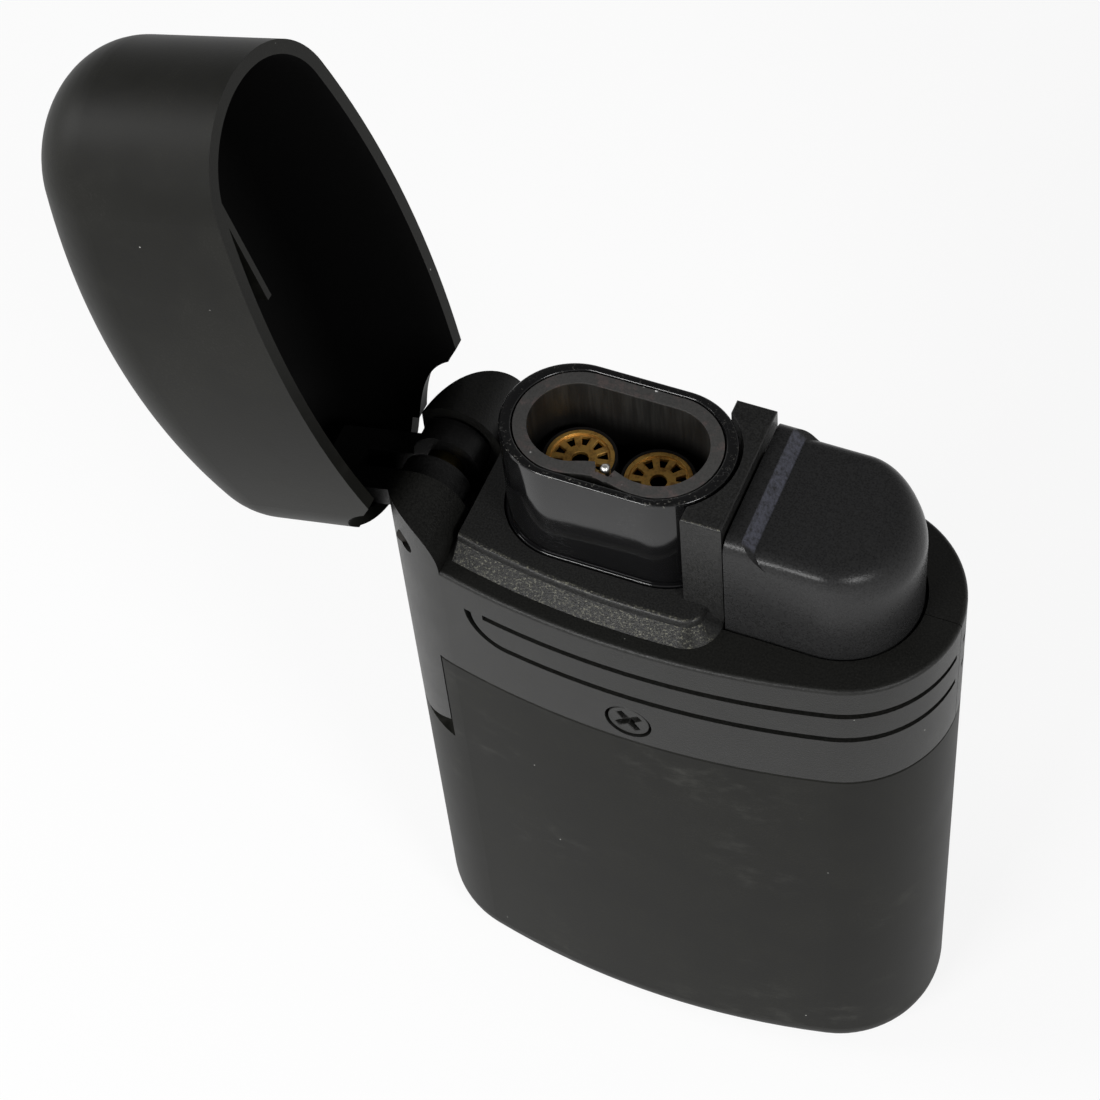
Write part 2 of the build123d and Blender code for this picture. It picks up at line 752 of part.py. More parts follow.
# ---------------------------------------------------------------- button and igniter
def button_level(left, depth):
    """The button's plan this far below its top: the edge rounding is larger at the round end."""
    rise = max(0.0, button_rounding - depth)
    end_rise = max(0.0, button_end_rounding - depth)
    side = slot_half_width - button_gap
    half = side - button_rounding + sqrt(button_rounding ** 2 - rise ** 2)
    reach = side - button_end_rounding + sqrt(button_end_rounding ** 2 - end_rise ** 2)
    edges = [
        Line((left, -half), (button_x, -half)),
        EllipticalCenterArc((button_x, 0), reach, half, start_angle=-90, arc_size=180),
        Line((button_x, half), (left, half)),
        Line((left, half), (left, -half)),
    ]
    return Pos(0, 0, deck_height + button_height - depth) * make_face(edges)


def make_button():
    """The button: a D-shaped cap with a raised lip beside the heat wall, open below."""
    left = plateau_right + button_left_gap
    lip_top = deck_height + button_lip_height
    main_top = deck_height + button_height
    low = deck_height - deck_thickness - button_stop_gap
    side = slot_half_width - button_gap
    straight = button_end_rounding + button_leads[0]
    turn_z = main_top - straight
    body = prism(button_plan(button_gap, left), low, turn_z)
    depths = [button_end_rounding * (1 - sin(radians(turn))) for turn in button_turns]
    depths = [button_end_rounding + lead for lead in button_leads] + depths
    body += loft([button_level(left, depth) for depth in depths])
    slope = button_ramp / (button_lip_height - button_height)
    ramp_start = left + button_lip_width
    lip_end = ramp_start + button_ramp + button_rounding * slope
    lip = block((left, lip_end), (-side, side), (low, lip_top))
    lip = fillet(lip.edges().filter_by(Axis.X).group_by(Axis.Z)[-1], button_rounding)
    lip_low = main_top - button_rounding
    ramp = [(ramp_start, lip_top + 1), (ramp_start, lip_top), (lip_end, lip_low), (lip_end + 1, lip_top + 1)]
    body += lip - side_profile(ramp, -far, far)
    flange = prism(button_plan(-button_flange + button_gap, left), low - button_flange_height, low)
    body += flange
    room = button_plan(button_gap + button_wall, left + button_wall)
    room_top = main_top - 2 * button_wall
    turn_x = button_x + side - button_end_rounding
    cavity = prism(room, low - 2, room_top)
    cavity &= block((left, turn_x), (-far, far), (low - 2, far)) + prism(room, low - 2, turn_z)
    body -= cavity
    seat_z = deck_height - plunger_drop
    half_boss = plunger_length / 2
    boss_span = (piezo_x - half_boss, piezo_x + half_boss)
    body += block(boss_span, (-plunger_width / 2, plunger_width / 2), (seat_z, room_top))
    foot_end = lever_pivot_x + lever_reach + button_foot_reach
    foot = block((left, foot_end), (-button_foot_half, button_foot_half), (lever_contact_z, room_top))
    return body + foot


def make_gas_lever():
    """A rocking lever: the button's foot presses one end, the forked end lifts the valve stem."""
    bar_half = lever_half_width - lever_step
    fork_half = stem_radius + fork_fit
    span = (lever_pivot_x - fork_reach, lever_pivot_x + lever_reach + lever_nose)
    level = (lever_height - lever_thickness / 2, lever_height + lever_thickness / 2)
    bar = block(span, (-bar_half, bar_half), level)
    bar += cross_bar(lever_pivot_x, lever_height, lever_hub_radius, -lever_half_width, lever_half_width)
    fork_end = lever_pivot_x - lever_hub_radius - fork_web
    bar -= block((span[0] - 1, fork_end), (-fork_half, fork_half), (0, far))
    bar = bar.rotate(Axis((lever_pivot_x, 0, lever_height), (0, 1, 0)), -lever_start)
    return bar - cross_bar(lever_pivot_x, lever_height, lever_pin_radius + bearing_fit, -far, far)


def make_lever_pin():
    reach = chassis_half_gap + chassis_wall
    return cross_bar(lever_pivot_x, lever_height, lever_pin_radius, -reach, reach)


def make_piezo_body():
    body = block(
        (piezo_x - piezo_length / 2, piezo_x + piezo_length / 2),
        (-piezo_width / 2, piezo_width / 2),
        (piezo_low, piezo_top),
    )
    body -= block(
        (piezo_x - plunger_length / 2 - plunger_fit, piezo_x + plunger_length / 2 + plunger_fit),
        (-plunger_width / 2 - plunger_fit, plunger_width / 2 + plunger_fit),
        (piezo_top - piezo_bore_depth, piezo_top + 1),
    )
    return body


def make_piezo_plunger():
    return block(
        (piezo_x - plunger_length / 2, piezo_x + plunger_length / 2),
        (-plunger_width / 2, plunger_width / 2),
        (piezo_top - plunger_hold, deck_height - plunger_drop),
    )


def make_piezo_spring():
    low = piezo_top - piezo_bore_depth
    return coil(piezo_x, 0, piezo_spring_radius - spring_wire, spring_wire, low, piezo_top - plunger_hold, 3)


# ---------------------------------------------------------------- chassis
def make_chassis():
    """The inner frame: two side walls and a floor on the tank cover, with screw bosses."""
    outer = chassis_half_gap + chassis_wall
    frame = block((chassis_left, chassis_right), (-outer, outer), (cover_top, manifold_low))
    frame -= block(
        (chassis_left + chassis_wall, chassis_right - chassis_wall),
        (-chassis_half_gap, chassis_half_gap),
        (cover_top + chassis_wall, far),
    )
    frame += block(
        (piezo_x - piezo_length / 2, chassis_right),
        (-chassis_half_gap, chassis_half_gap),
        (cover_top, piezo_low),
    )
    frame -= post(burner_x, 0, valve_flange_radius + tank_gap, 0, cover_top + 2 * chassis_wall)
    frame &= prism(case_plan(inner_inset + tank_gap), 0, far)
    frame -= cross_bar(lever_pivot_x, lever_height, lever_pin_radius + pin_fit, -far, far)
    for side in (-1, 1):
        near = side * (manifold_flange + seat_gap)
        frame += cross_bar(0, screw_z, boss_radius, near, side * (half_width - case_wall - seat_gap))
        frame -= cross_bar(0, screw_z, screw_shank_radius + pin_fit, near, side * far)
    return frame


# ---------------------------------------------------------------- tank and valves
def make_fuel_tank():
    inset = case_wall + tank_gap
    outer = prism(case_plan(inset), tank_floor, tank_top)
    outer = fillet(outer.edges().group_by(Axis.Z)[0], base_rounding - case_wall)
    tank = outer - prism(case_plan(inset + tank_wall), tank_floor + tank_wall, tank_top + 1)
    sleeve = adjuster_shaft_radius + running_gap + sleeve_wall
    tank += post(burner_x, 0, sleeve, tank_floor, tank_top)
    tank += post(burner_x, 0, adjuster_head_radius + tank_wall, tank_floor, tank_floor + seal_room)
    tank += post(fill_x, 0, fill_body_radius + tank_wall, tank_floor, tank_floor + fill_collar_height)
    tank -= post(burner_x, 0, adjuster_shaft_radius + running_gap, 0, far)
    tank -= post(burner_x, 0, adjuster_head_radius + running_gap, 0, head_top + running_gap)
    tank -= post(burner_x, 0, adjuster_shaft_radius + 2 * seal_section + seal_gap, 0, seal_top)
    return tank - post(fill_x, 0, fill_body_radius + seal_gap, 0, far)


def make_tank_cover():
    cover = prism(case_plan(case_wall + tank_gap), tank_top, cover_top)
    return cover - post(burner_x, 0, valve_radius + seal_gap, 0, far)


def make_gas_valve_body():
    """The valve block: a chamber round the stem and a side arm with the hose nipple."""
    body = post(burner_x, 0, valve_radius, tank_top, valve_top)
    body += post(burner_x, 0, valve_flange_radius, cover_top, cover_top + valve_flange_height)
    arm = hose_bore + arm_wall
    arm_low = chamber_top - gas_bore - 2 * arm_wall
    body += block((burner_x - arm, burner_x + arm), (0, hose_y + arm), (arm_low, valve_top))
    body += post(burner_x, hose_y, hose_bore - seal_gap, valve_top, valve_top + nipple_length)
    body -= post(burner_x, 0, stem_radius + running_gap, chamber_low, far)
    body -= post(burner_x, 0, chamber_radius, chamber_low, chamber_top)
    seal_pocket = stem_radius + 2 * seal_section + seal_gap
    body -= post(burner_x, 0, seal_pocket, stem_seal_z - seal_section, stem_seal_z + seal_section)
    duct = (chamber_top - 2 * gas_bore - arm_wall, chamber_top - arm_wall)
    body -= post(burner_x, hose_y, gas_bore, duct[0], far)
    return body - block((burner_x - gas_bore, burner_x + gas_bore), (0, hose_y), duct)


def make_valve_stem():
    collar_low = lever_height + stem_collar_rise
    stem = post(burner_x, 0, stem_radius, stem_foot, collar_low)
    stem += post(burner_x, 0, chamber_radius - running_gap, stem_foot, spring_low)
    return stem + post(burner_x, 0, stem_collar_radius, collar_low, collar_low + stem_collar_height)


def make_valve_spring():
    mean = (stem_radius + chamber_radius) / 2
    return coil(burner_x, 0, mean, valve_spring_wire, spring_low, chamber_top, 3)


def make_gas_hose():
    low = valve_top
    hose = post(burner_x, hose_y, hose_radius, low, manifold_low)
    return hose - post(burner_x, hose_y, hose_bore, 0, far)


def make_flame_adjuster():
    head = post(burner_x, 0, adjuster_head_radius, base_recess, head_top)
    slot = block(
        (burner_x - far, burner_x + far),
        (-adjuster_slot_width / 2, adjuster_slot_width / 2),
        (0, base_recess + adjuster_slot_depth),
    )
    shaft_top = tank_top - running_gap
    return head - slot + post(burner_x, 0, adjuster_shaft_radius, head_top, shaft_top)


def make_adjuster_seal():
    return seal_ring(burner_x, 0, adjuster_shaft_radius, seal_section, seal_top - seal_section)


def make_fill_valve_body():
    """The refill valve: a nozzle bore open to the base, a lip and the stem's channel."""
    top = base_recess + fill_body_height
    body = post(fill_x, 0, fill_body_radius, base_recess, top)
    body -= post(fill_x, 0, fill_bore_radius, 0, fill_bore_top)
    body -= post(fill_x, 0, fill_gasket_radius + seal_gap, 0, fill_gasket_top)
    body -= post(fill_x, 0, fill_nose_radius + running_gap, 0, fill_seat)
    body -= post(fill_x, 0, fill_stem_radius + running_gap, fill_seat, top - tank_wall)
    return body - post(fill_x, 0, gas_bore, 0, far)


def make_fill_gasket():
    """The soft washer the refill nozzle presses on."""
    ring = post(fill_x, 0, fill_gasket_radius, fill_bore_top, fill_gasket_top)
    return ring - post(fill_x, 0, fill_nose_radius + running_gap, 0, far)


def make_fill_valve_stem():
    low = fill_seat + running_gap
    stem = post(fill_x, 0, fill_stem_radius, low, low + fill_stem_length)
    stem += post(fill_x, 0, fill_nose_radius, low - fill_nose_length, low)
    return stem - post(fill_x, 0, gas_bore, 0, low + fill_stem_length / 2)


def make_fill_valve_spring():
    low = fill_seat + running_gap + fill_stem_length
    high = base_recess + fill_body_height - tank_wall
    mean = fill_stem_radius - valve_spring_wire
    return coil(fill_x, 0, mean, valve_spring_wire, low, high, 2)


def make_gas_filter():
    """A porous sleeve round the adjuster's tube."""
    inner = adjuster_shaft_radius + running_gap + sleeve_wall + seal_gap
    sleeve = post(burner_x, 0, filter_radius, tank_floor + seal_room, tank_top - tank_wall)
    return sleeve - post(burner_x, 0, inner, 0, far)


def make_electrode_lead():
    """The insulated wire from the igniter to the foot of the electrode."""
    start = manifold_low - wire_drop
    level = start - lead_drop
    side_y = -(chassis_half_gap - 2 * lead_radius)
    end_x = piezo_x - piezo_length / 2
    end_y = -piezo_width / 2 + 2 * lead_radius
    route = [
        (burner_x, electrode_y, start),
        (burner_x, electrode_y, level),
        (burner_x + lead_step, side_y, level),
        (end_x - lead_step - 2 * lead_bend, side_y, level),
        (end_x - 2 * lead_bend, end_y, level),
        (end_x, end_y, level),
    ]
    path = FilletPolyline(*route, radius=lead_bend)
    section = Plane(origin=path @ 0, z_dir=path % 0) * Circle(lead_radius)
    return sweep(section, path=path)


# ---------------------------------------------------------------- the whole lighter
def build_nodes():
    """Every node of the lighter by name."""
    nodes = {
        "lower_shell": make_lower_shell(),
        "collar_front": make_collar(-1),
        "collar_rear": make_collar(1),
        "collar_screws": make_collar_screws(),
        "lid_shell": make_lid_shell(),
        "lid_knuckle": make_lid_knuckle(),
        "lid_detent_spring": make_lid_spring(),
        "hinge_bush": make_hinge_bush(),
        "hinge_pin": make_hinge_pin(),
        "burner_housing": make_burner_housing(),
        "burner_shroud": make_burner_shroud(),
        "burner_chimney": make_chimney(),
        "burner_manifold": make_manifold(),
        "electrode_insulator": make_electrode_insulator(),
        "electrode_wire": make_electrode_wire(),
        "electrode_lead": make_electrode_lead(),
        "ground_strip": make_ground_strip(),
        "button": make_button(),
        "piezo_body": make_piezo_body(),
        "piezo_plunger": make_piezo_plunger(),
        "piezo_spring": make_piezo_spring(),
        "gas_lever": make_gas_lever(),
        "lever_pin": make_lever_pin(),
        "chassis": make_chassis(),
        "fuel_tank": make_fuel_tank(),
        "tank_cover": make_tank_cover(),
        "gas_filter": make_gas_filter(),
        "gas_valve_body": make_gas_valve_body(),
        "valve_stem": make_valve_stem(),
        "valve_spring": make_valve_spring(),
        "stem_seal": seal_ring(burner_x, 0, stem_radius, seal_section, stem_seal_z),
        "gas_hose": make_gas_hose(),
        "flame_adjuster": make_flame_adjuster(),
        "adjuster_seal": make_adjuster_seal(),
        "fill_valve_body": make_fill_valve_body(),
        "fill_valve_gasket": make_fill_gasket(),
        "fill_valve_stem": make_fill_valve_stem(),
        "fill_valve_spring": make_fill_valve_spring(),
    }
    for name, x in zip(("left", "right"), jet_x):
        nodes["burner_tube_" + name] = make_burner_tube(x)
        nodes["flame_disc_" + name] = make_flame_disc(x)
        nodes["gas_jet_" + name] = make_jet(x)
    return nodes


for node_name, solid in build_nodes().items():
    export_step(solid, "parts/" + node_name + ".step")
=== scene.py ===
"""Looks for a refillable flip-lid jet lighter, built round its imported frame.

Everything is in metres in the frame's own axes: +X runs from the hinge to the button, -Y is the
front and +Z is up. Patterns in the materials are written in millimetres.
"""
from __future__ import annotations

import logging
from dataclasses import dataclass
from enum import Enum
from math import cos, radians, sin, tau
from typing import Any

import bpy
from mathutils import Matrix, Vector


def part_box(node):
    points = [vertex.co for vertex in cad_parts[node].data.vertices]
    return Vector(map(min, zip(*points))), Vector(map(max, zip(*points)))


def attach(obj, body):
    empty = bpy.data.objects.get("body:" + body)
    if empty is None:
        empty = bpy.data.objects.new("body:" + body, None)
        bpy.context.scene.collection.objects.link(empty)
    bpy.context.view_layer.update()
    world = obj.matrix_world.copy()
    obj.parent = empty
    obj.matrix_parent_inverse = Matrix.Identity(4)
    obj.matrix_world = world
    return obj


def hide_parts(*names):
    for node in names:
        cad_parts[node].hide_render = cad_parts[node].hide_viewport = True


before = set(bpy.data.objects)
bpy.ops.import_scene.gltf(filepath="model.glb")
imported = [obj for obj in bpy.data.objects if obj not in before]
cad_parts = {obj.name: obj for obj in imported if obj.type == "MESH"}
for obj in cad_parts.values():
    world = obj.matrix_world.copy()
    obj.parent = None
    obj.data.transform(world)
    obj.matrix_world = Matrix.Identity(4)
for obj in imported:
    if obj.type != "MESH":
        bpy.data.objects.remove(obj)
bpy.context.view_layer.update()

MM = 0.001
Colour = tuple[float, float, float]
Point = tuple[float, float, float]
CIRCLE_POINTS = 128
CORNER_POINTS = 4
SECTION_CUTS = 20
SMOOTH_ANGLE = radians(35.0)
BEVEL_ANGLE = radians(40.0)
log = logging.getLogger("lighter")


def tint(base: Colour, strength: float) -> Colour:
    """A colour made lighter or darker."""
    return (base[0] * strength, base[1] * strength, base[2] * strength)


# ------------------------------------------------------------------------------ shader tools
class Sock:
    """A node's output socket that can be used in sums, like a number."""

    def __init__(self, tree: "NodeTree", socket: bpy.types.NodeSocket) -> None:
        """Wrap one output socket of a tree.

        Args:
            tree: The tree that new nodes go into.
            socket: The socket.
        """
        self.tree = tree
        self.socket = socket

    def _math(self, operation: str, first: Any, second: Any) -> "Sock":
        """Add a Math node for one operation on two values."""
        return self.tree.node("ShaderNodeMath", {"operation": operation}, {0: first, 1: second})

    def __add__(self, other: Any) -> "Sock":
        """Sum."""
        return self._math("ADD", self, other)

    def __radd__(self, other: Any) -> "Sock":
        """Sum with a number on the left."""
        return self._math("ADD", other, self)

    def __sub__(self, other: Any) -> "Sock":
        """Difference."""
        return self._math("SUBTRACT", self, other)

    def __rsub__(self, other: Any) -> "Sock":
        """Difference from a number."""
        return self._math("SUBTRACT", other, self)

    def __mul__(self, other: Any) -> "Sock":
        """Product."""
        return self._math("MULTIPLY", self, other)

    def __truediv__(self, other: Any) -> "Sock":
        """Quotient."""
        return self._math("DIVIDE", self, other)

    def larger(self, other: Any) -> "Sock":
        """The larger of two values."""
        return self._math("MAXIMUM", self, other)

    def size(self) -> "Sock":
        """The value without its sign."""
        return self._math("ABSOLUTE", self, 0.0)

    def root(self) -> "Sock":
        """The square root."""
        return self._math("SQRT", self, 0.0)

    def sign(self) -> "Sock":
        """The value's sign: -1, 0 or 1."""
        return self._math("SIGN", self, 0.0)

    def above(self, level: Any) -> "Sock":
        """1 where the value is above the level, else 0."""
        return self._math("GREATER_THAN", self, level)

    def step(self, low: Any, high: Any) -> "Sock":
        """A soft step from 0 at low to 1 at high, where high is the larger."""
        values = {0: self, 1: low, 2: high}
        return self.tree.node("ShaderNodeMapRange", {"interpolation_type": "SMOOTHSTEP"}, values)

    def fall(self, low: Any, high: Any) -> "Sock":
        """A soft step from 1 at low down to 0 at high."""
        return 1.0 - self.step(low, high)


class NodeTree:
    """A node tree that is filled one node at a time."""

    def __init__(self, tree: bpy.types.NodeTree) -> None:
        """Start from an empty tree.

        Args:
            tree: The tree to fill.
        """
        self.nodes = tree.nodes
        self.links = tree.links
        self.nodes.clear()

    def node(
        self,
        kind: str,
        settings: dict[str, Any] | None = None,
        inputs: dict[int | str, Any] | None = None,
        output: int | str = 0,
    ) -> Sock:
        """Add a node.

        Args:
            kind: The node's type.
            settings: Its properties, set first; "stops" holds a colour ramp's stops.
            inputs: Values or sockets for its inputs; a list goes to one input together.
            output: The output to return.

        Returns:
            The chosen output.
        """
        made = self.nodes.new(kind)
        for key, value in (settings or {}).items():
            if key == "stops":
                ramp = made.color_ramp.elements
                while len(ramp) < len(value):
                    ramp.new(0.5)
                for element, (place, colour) in zip(ramp, value):
                    element.position = place
                    element.color = (*colour, 1.0)
            else:
                setattr(made, key, value)
        for key, value in (inputs or {}).items():
            socket = made.inputs[key]
            if isinstance(value, (Sock, list)):
                for each in value if isinstance(value, list) else [value]:
                    self.links.new(each.socket, socket)
            elif isinstance(value, tuple) and len(value) == 3 and socket.type == "RGBA":
                socket.default_value = (*value, 1.0)
            else:
                socket.default_value = value
        return Sock(self, made.outputs[output]) if len(made.outputs) else Sock(self, made.inputs[0])

    def axis(self, place: Sock, index: int) -> Sock:
        """One coordinate of a point: 0, 1 or 2."""
        return self.node("ShaderNodeSeparateXYZ", None, {0: place}, index)

    def point(self, x: Any, y: Any, z: Any) -> Sock:
        """A point or vector from its three coordinates."""
        return self.node("ShaderNodeCombineXYZ", None, {0: x, 1: y, 2: z})

    def noise(self, place: Sock, size: float, detail: float = 2.0, rough: float = 0.5) -> Sock:
        """Noise with blotches about size millimetres across, from 0 to 1."""
        values = {"Vector": place, "Scale": 1.0 / size, "Detail": detail, "Roughness": rough}
        return self.node("ShaderNodeTexNoise", None, values)


class ShaderTree(NodeTree):
    """Builds the node tree of one material."""

    def __init__(self, name: str) -> None:
        """Start an empty material.

        Args:
            name: The material's name.
        """
        self.material = bpy.data.materials.new(name)
        self.material.use_nodes = True
        super().__init__(self.material.node_tree)

    def place(self, stretch: Point = (1.0, 1.0, 1.0)) -> Sock:
        """The point on the piece in millimetres.

        Args:
            stretch: What each axis is multiplied by.

        Returns:
            The point.
        """
        where = self.node("ShaderNodeTexCoord", output="Object")
        scale = tuple(each / MM for each in stretch)
        return self.node("ShaderNodeVectorMath", {"operation": "MULTIPLY"}, {0: where, 1: scale})

    def facing(self) -> Sock:
        """The direction that the surface faces."""
        return self.node("ShaderNodeTexCoord", output="Normal")

    def grains(self, place: Sock, size: float) -> Sock:
        """Distance to the nearest of many scattered points, size millimetres apart."""
        return self.node("ShaderNodeTexVoronoi", None, {"Vector": place, "Scale": 1.0 / size})

    def cell(self, place: Sock, size: float) -> Sock:
        """A random value from 0 to 1 for each cell of the same points."""
        colour = self.node("ShaderNodeTexVoronoi", None, {"Vector": place, "Scale": 1.0 / size}, 1)
        return self.node("ShaderNodeSeparateColor", None, {0: colour})

    def specks(self, place: Sock, spacing: float, radius: float, share: float) -> Sock:
        """A mask of round specks.

        Args:
            place: The point in millimetres.
            spacing: The cells' size in millimetres.
            radius: A speck's radius in millimetres.
            share: The part of the cells that hold a speck.

        Returns:
            1 inside a speck and 0 elsewhere.
        """
        near = self.grains(place, spacing).fall(0.7 * radius / spacing, 1.4 * radius / spacing)
        return near * self.cell(place, spacing).above(1.0 - share)

    def hairs(self, stretch: Point, size: float, share: float) -> Sock:
        """A mask of fine scratches.

        Args:
            stretch: The pattern's scale along each axis; small along the scratches.
            size: The scratches' spacing in millimetres.
            share: Higher for more of them, from 0 to 0.1.

        Returns:
            1 on a scratch and 0 elsewhere.
        """
        lines = self.noise(self.place(stretch), size)
        crests = (lines - 0.5).size().fall(share * 0.2, share)
        return crests * self.noise(self.place(), size * 7.0).step(0.5, 0.62)

    def mix(self, factor: Any, first: Any, second: Any) -> Sock:
        """Mix two colours."""
        values = {"Factor": factor, 6: first, 7: second}
        return self.node("ShaderNodeMix", {"data_type": "RGBA"}, values, 2)

    def shades(self, factor: Any, base: Colour, low: float, high: float) -> Sock:
        """A colour between two strengths of itself."""
        return self.mix(factor, tint(base, low), tint(base, high))

    def bump(self, height: Sock, strength: float, distance: float) -> Sock:
        """A bumped normal; distance is in millimetres."""
        values = {"Height": height, "Strength": strength, "Distance": distance * MM}
        return self.node("ShaderNodeBump", None, values)

    def hollow_shade(self, centre: Point) -> Sock:
        """A mask of the surfaces that face the hollow of a shell, where its painted shade goes.

        Args:
            centre: A point inside the hollow, in millimetres.

        Returns:
            1 on the inner surfaces and 0 on the outer ones.
        """
        values = {0: self.place(), 1: centre}
        out = self.node("ShaderNodeVectorMath", {"operation": "SUBTRACT"}, values)
        values = {0: out, 1: self.facing()}
        dot = self.node("ShaderNodeVectorMath", {"operation": "DOT_PRODUCT"}, values, "Value")
        return dot.fall(-0.4, 0.0)

    def principled(self, **inputs: Any) -> Sock:
        """A Principled surface; its sockets are named with underscores for spaces."""
        named = {key.replace("_", " "): value for key, value in inputs.items()}
        return self.node("ShaderNodeBsdfPrincipled", None, named)

    def done(self, shader: Sock) -> bpy.types.Material:
        """Link a shader to the output and return the finished material."""
        self.node("ShaderNodeOutputMaterial", None, {"Surface": shader})
        return self.material

    def surface(self, **inputs: Any) -> bpy.types.Material:
        """Finish with one Principled surface."""
        return self.done(self.principled(**inputs))


class PieceTree(NodeTree):
    """Builds a Geometry Nodes tree in millimetres and turns its result into a plain mesh."""

    def __init__(self, name: str) -> None:
        """Start an empty tree.

        Args:
            name: The tree's name.
        """
        self.group = bpy.data.node_groups.new(name, "GeometryNodeTree")
        interface = self.group.interface
        interface.new_socket("Geometry", in_out="OUTPUT", socket_type="NodeSocketGeometry")
        super().__init__(self.group)
        self.entry = self.nodes.new("NodeGroupInput")
        self.values: dict[str, Any] = {}

    def given(self, label: str, value: Any) -> Sock:
        """Add a named input.

        Args:
            label: The input's name.
            value: Its value: a whole number, a number of millimetres or a material.

        Returns:
            The input as a socket.
        """
        kinds = {int: "NodeSocketInt", float: "NodeSocketFloat"}
        kind = kinds.get(type(value), "NodeSocketMaterial")
        socket = self.group.interface.new_socket(label, in_out="INPUT", socket_type=kind)
        self.values[socket.identifier] = value
        return Sock(self, self.entry.outputs[label])

    def position(self) -> Sock:
        """Each point's place."""
        return self.node("GeometryNodeInputPosition")

    def shift(self, geometry: Sock, offset: Sock) -> Sock:
        """Move points by an offset that may differ from point to point."""
        return self.node("GeometryNodeSetPosition", None, {"Geometry": geometry, "Offset": offset})

    def moved(self, geometry: Sock, x: Any = 0.0, y: Any = 0.0, z: Any = 0.0) -> Sock:
        """Move a whole geometry."""
        values = {"Geometry": geometry, "Translation": self.point(x, y, z)}
        return self.node("GeometryNodeTransform", None, values)

    def post(self, radius: Any, low: Any, high: Any, sides: int) -> Sock:
        """A closed round bar on the Z axis.

        Args:
            radius: Its radius.
            low: Its lower end.
            high: Its upper end.
            sides: The number of its sides.

        Returns:
            The bar.
        """
        depth = high - low
        values = {"Vertices": sides, "Radius": radius, "Depth": depth}
        bar = self.node("GeometryNodeMeshCylinder", None, values)
        return self.moved(bar, z=depth * 0.5 + low)

    def wedge(
        self, near: Any, far: Any, near_half: Any, far_half: Any, low: Any, high: Any
    ) -> Sock:
        """A bar along +Y whose width changes from its near end to its far end.

        Args:
            near: Where it starts along Y.
            far: Where it ends.
            near_half: Half its width at the start.
            far_half: Half its width at the end.
            low: Its lower face.
            high: Its upper face.

        Returns:
            The bar.
        """
        cube = self.node("GeometryNodeMeshCube", None, {"Size": (1.0, 1.0, 1.0)})
        place = self.position()
        along = self.axis(place, 1) + 0.5
        rise = self.axis(place, 2) + 0.5
        half = along * (far_half - near_half) + near_half
        level = rise * (high - low) + low
        target = self.point(self.axis(place, 0) * 2.0 * half, along * (far - near) + near, level)
        return self.node("GeometryNodeSetPosition", None, {"Geometry": cube, "Position": target})

    def ring_of(self, item: Sock, count: Sock, phase: float = 0.0) -> Sock:
        """Repeat an item round the Z axis.

        Args:
            item: What is repeated.
            count: How many times.
            phase: The first one's turn, in steps.

        Returns:
            The realized copies.
        """
        points = self.node("GeometryNodePoints", None, {"Count": count})
        index = self.node("GeometryNodeInputIndex")
        turn = self.point(0.0, 0.0, (index + phase) * tau / count)
        values = {"Points": points, "Instance": item, "Rotation": turn}
        copies = self.node("GeometryNodeInstanceOnPoints", None, values)
        return self.node("GeometryNodeRealizeInstances", None, {0: copies})

    def cut(self, solid: Sock, *tools: Sock) -> Sock:
        """Take tools away from a solid.

        Args:
            solid: The solid.
            tools: What is taken away; they may overlap one another.

        Returns:
            What is left.
        """
        settings = {"operation": "DIFFERENCE", "solver": "EXACT"}
        values = {"Mesh 1": solid, "Mesh 2": list(tools), "Self Intersection": True}
        return self.node("GeometryNodeMeshBoolean", settings, values)

    def join(self, *pieces: Sock) -> Sock:
        """Join geometries."""
        return self.node("GeometryNodeJoinGeometry", None, {0: list(pieces)})

    def oval_wall(
        self,
        half_straight: Sock,
        radius: Sock,
        wall: Sock,
        low: Sock,
        high: Sock,
        rounding: Sock | None,
        points: Sock,
    ) -> Sock:
        """An upright wall along a long slot's outline: two straights and two half rounds.

        Args:
            half_straight: Half the length of the straights.
            radius: The wall's outer radius at its round ends.
            wall: Its thickness.
            low: Its lower edge.
            high: Its upper edge.
            rounding: The rounding of its edges, or None for a finely divided square section.
            points: How many points go round the outline.

        Returns:
            The wall, centred on the Z axis.
        """
        circle = {"Resolution": CIRCLE_POINTS, "Radius": radius - wall * 0.5}
        path = self.node("GeometryNodeCurvePrimitiveCircle", None, circle)
        half_step = (0.0, 0.0, tau / (2 * CIRCLE_POINTS))
        path = self.node("GeometryNodeTransform", None, {"Geometry": path, "Rotation": half_step})
        side = self.axis(self.position(), 0).sign()
        path = self.shift(path, self.point(side * half_straight, 0.0, 0.0))
        path = self.node("GeometryNodeResampleCurve", None, {"Curve": path, "Count": points})
        sides = {0: wall, 1: high - low}
        section = self.node("GeometryNodeCurvePrimitiveQuadrilateral", None, sides)
        if rounding is None:
            values = {"Curve": section, "Cuts": SECTION_CUTS}
            section = self.node("GeometryNodeSubdivideCurve", None, values)
        else:
            values = {"Curve": section, "Count": CORNER_POINTS, "Radius": rounding}
            values["Limit Radius"] = True
            section = self.node("GeometryNodeFilletCurve", {"mode": "POLY"}, values)
        made = self.node("GeometryNodeCurveToMesh", None, {"Curve": path, "Profile Curve": section})
        return self.moved(made, z=(low + high) * 0.5)

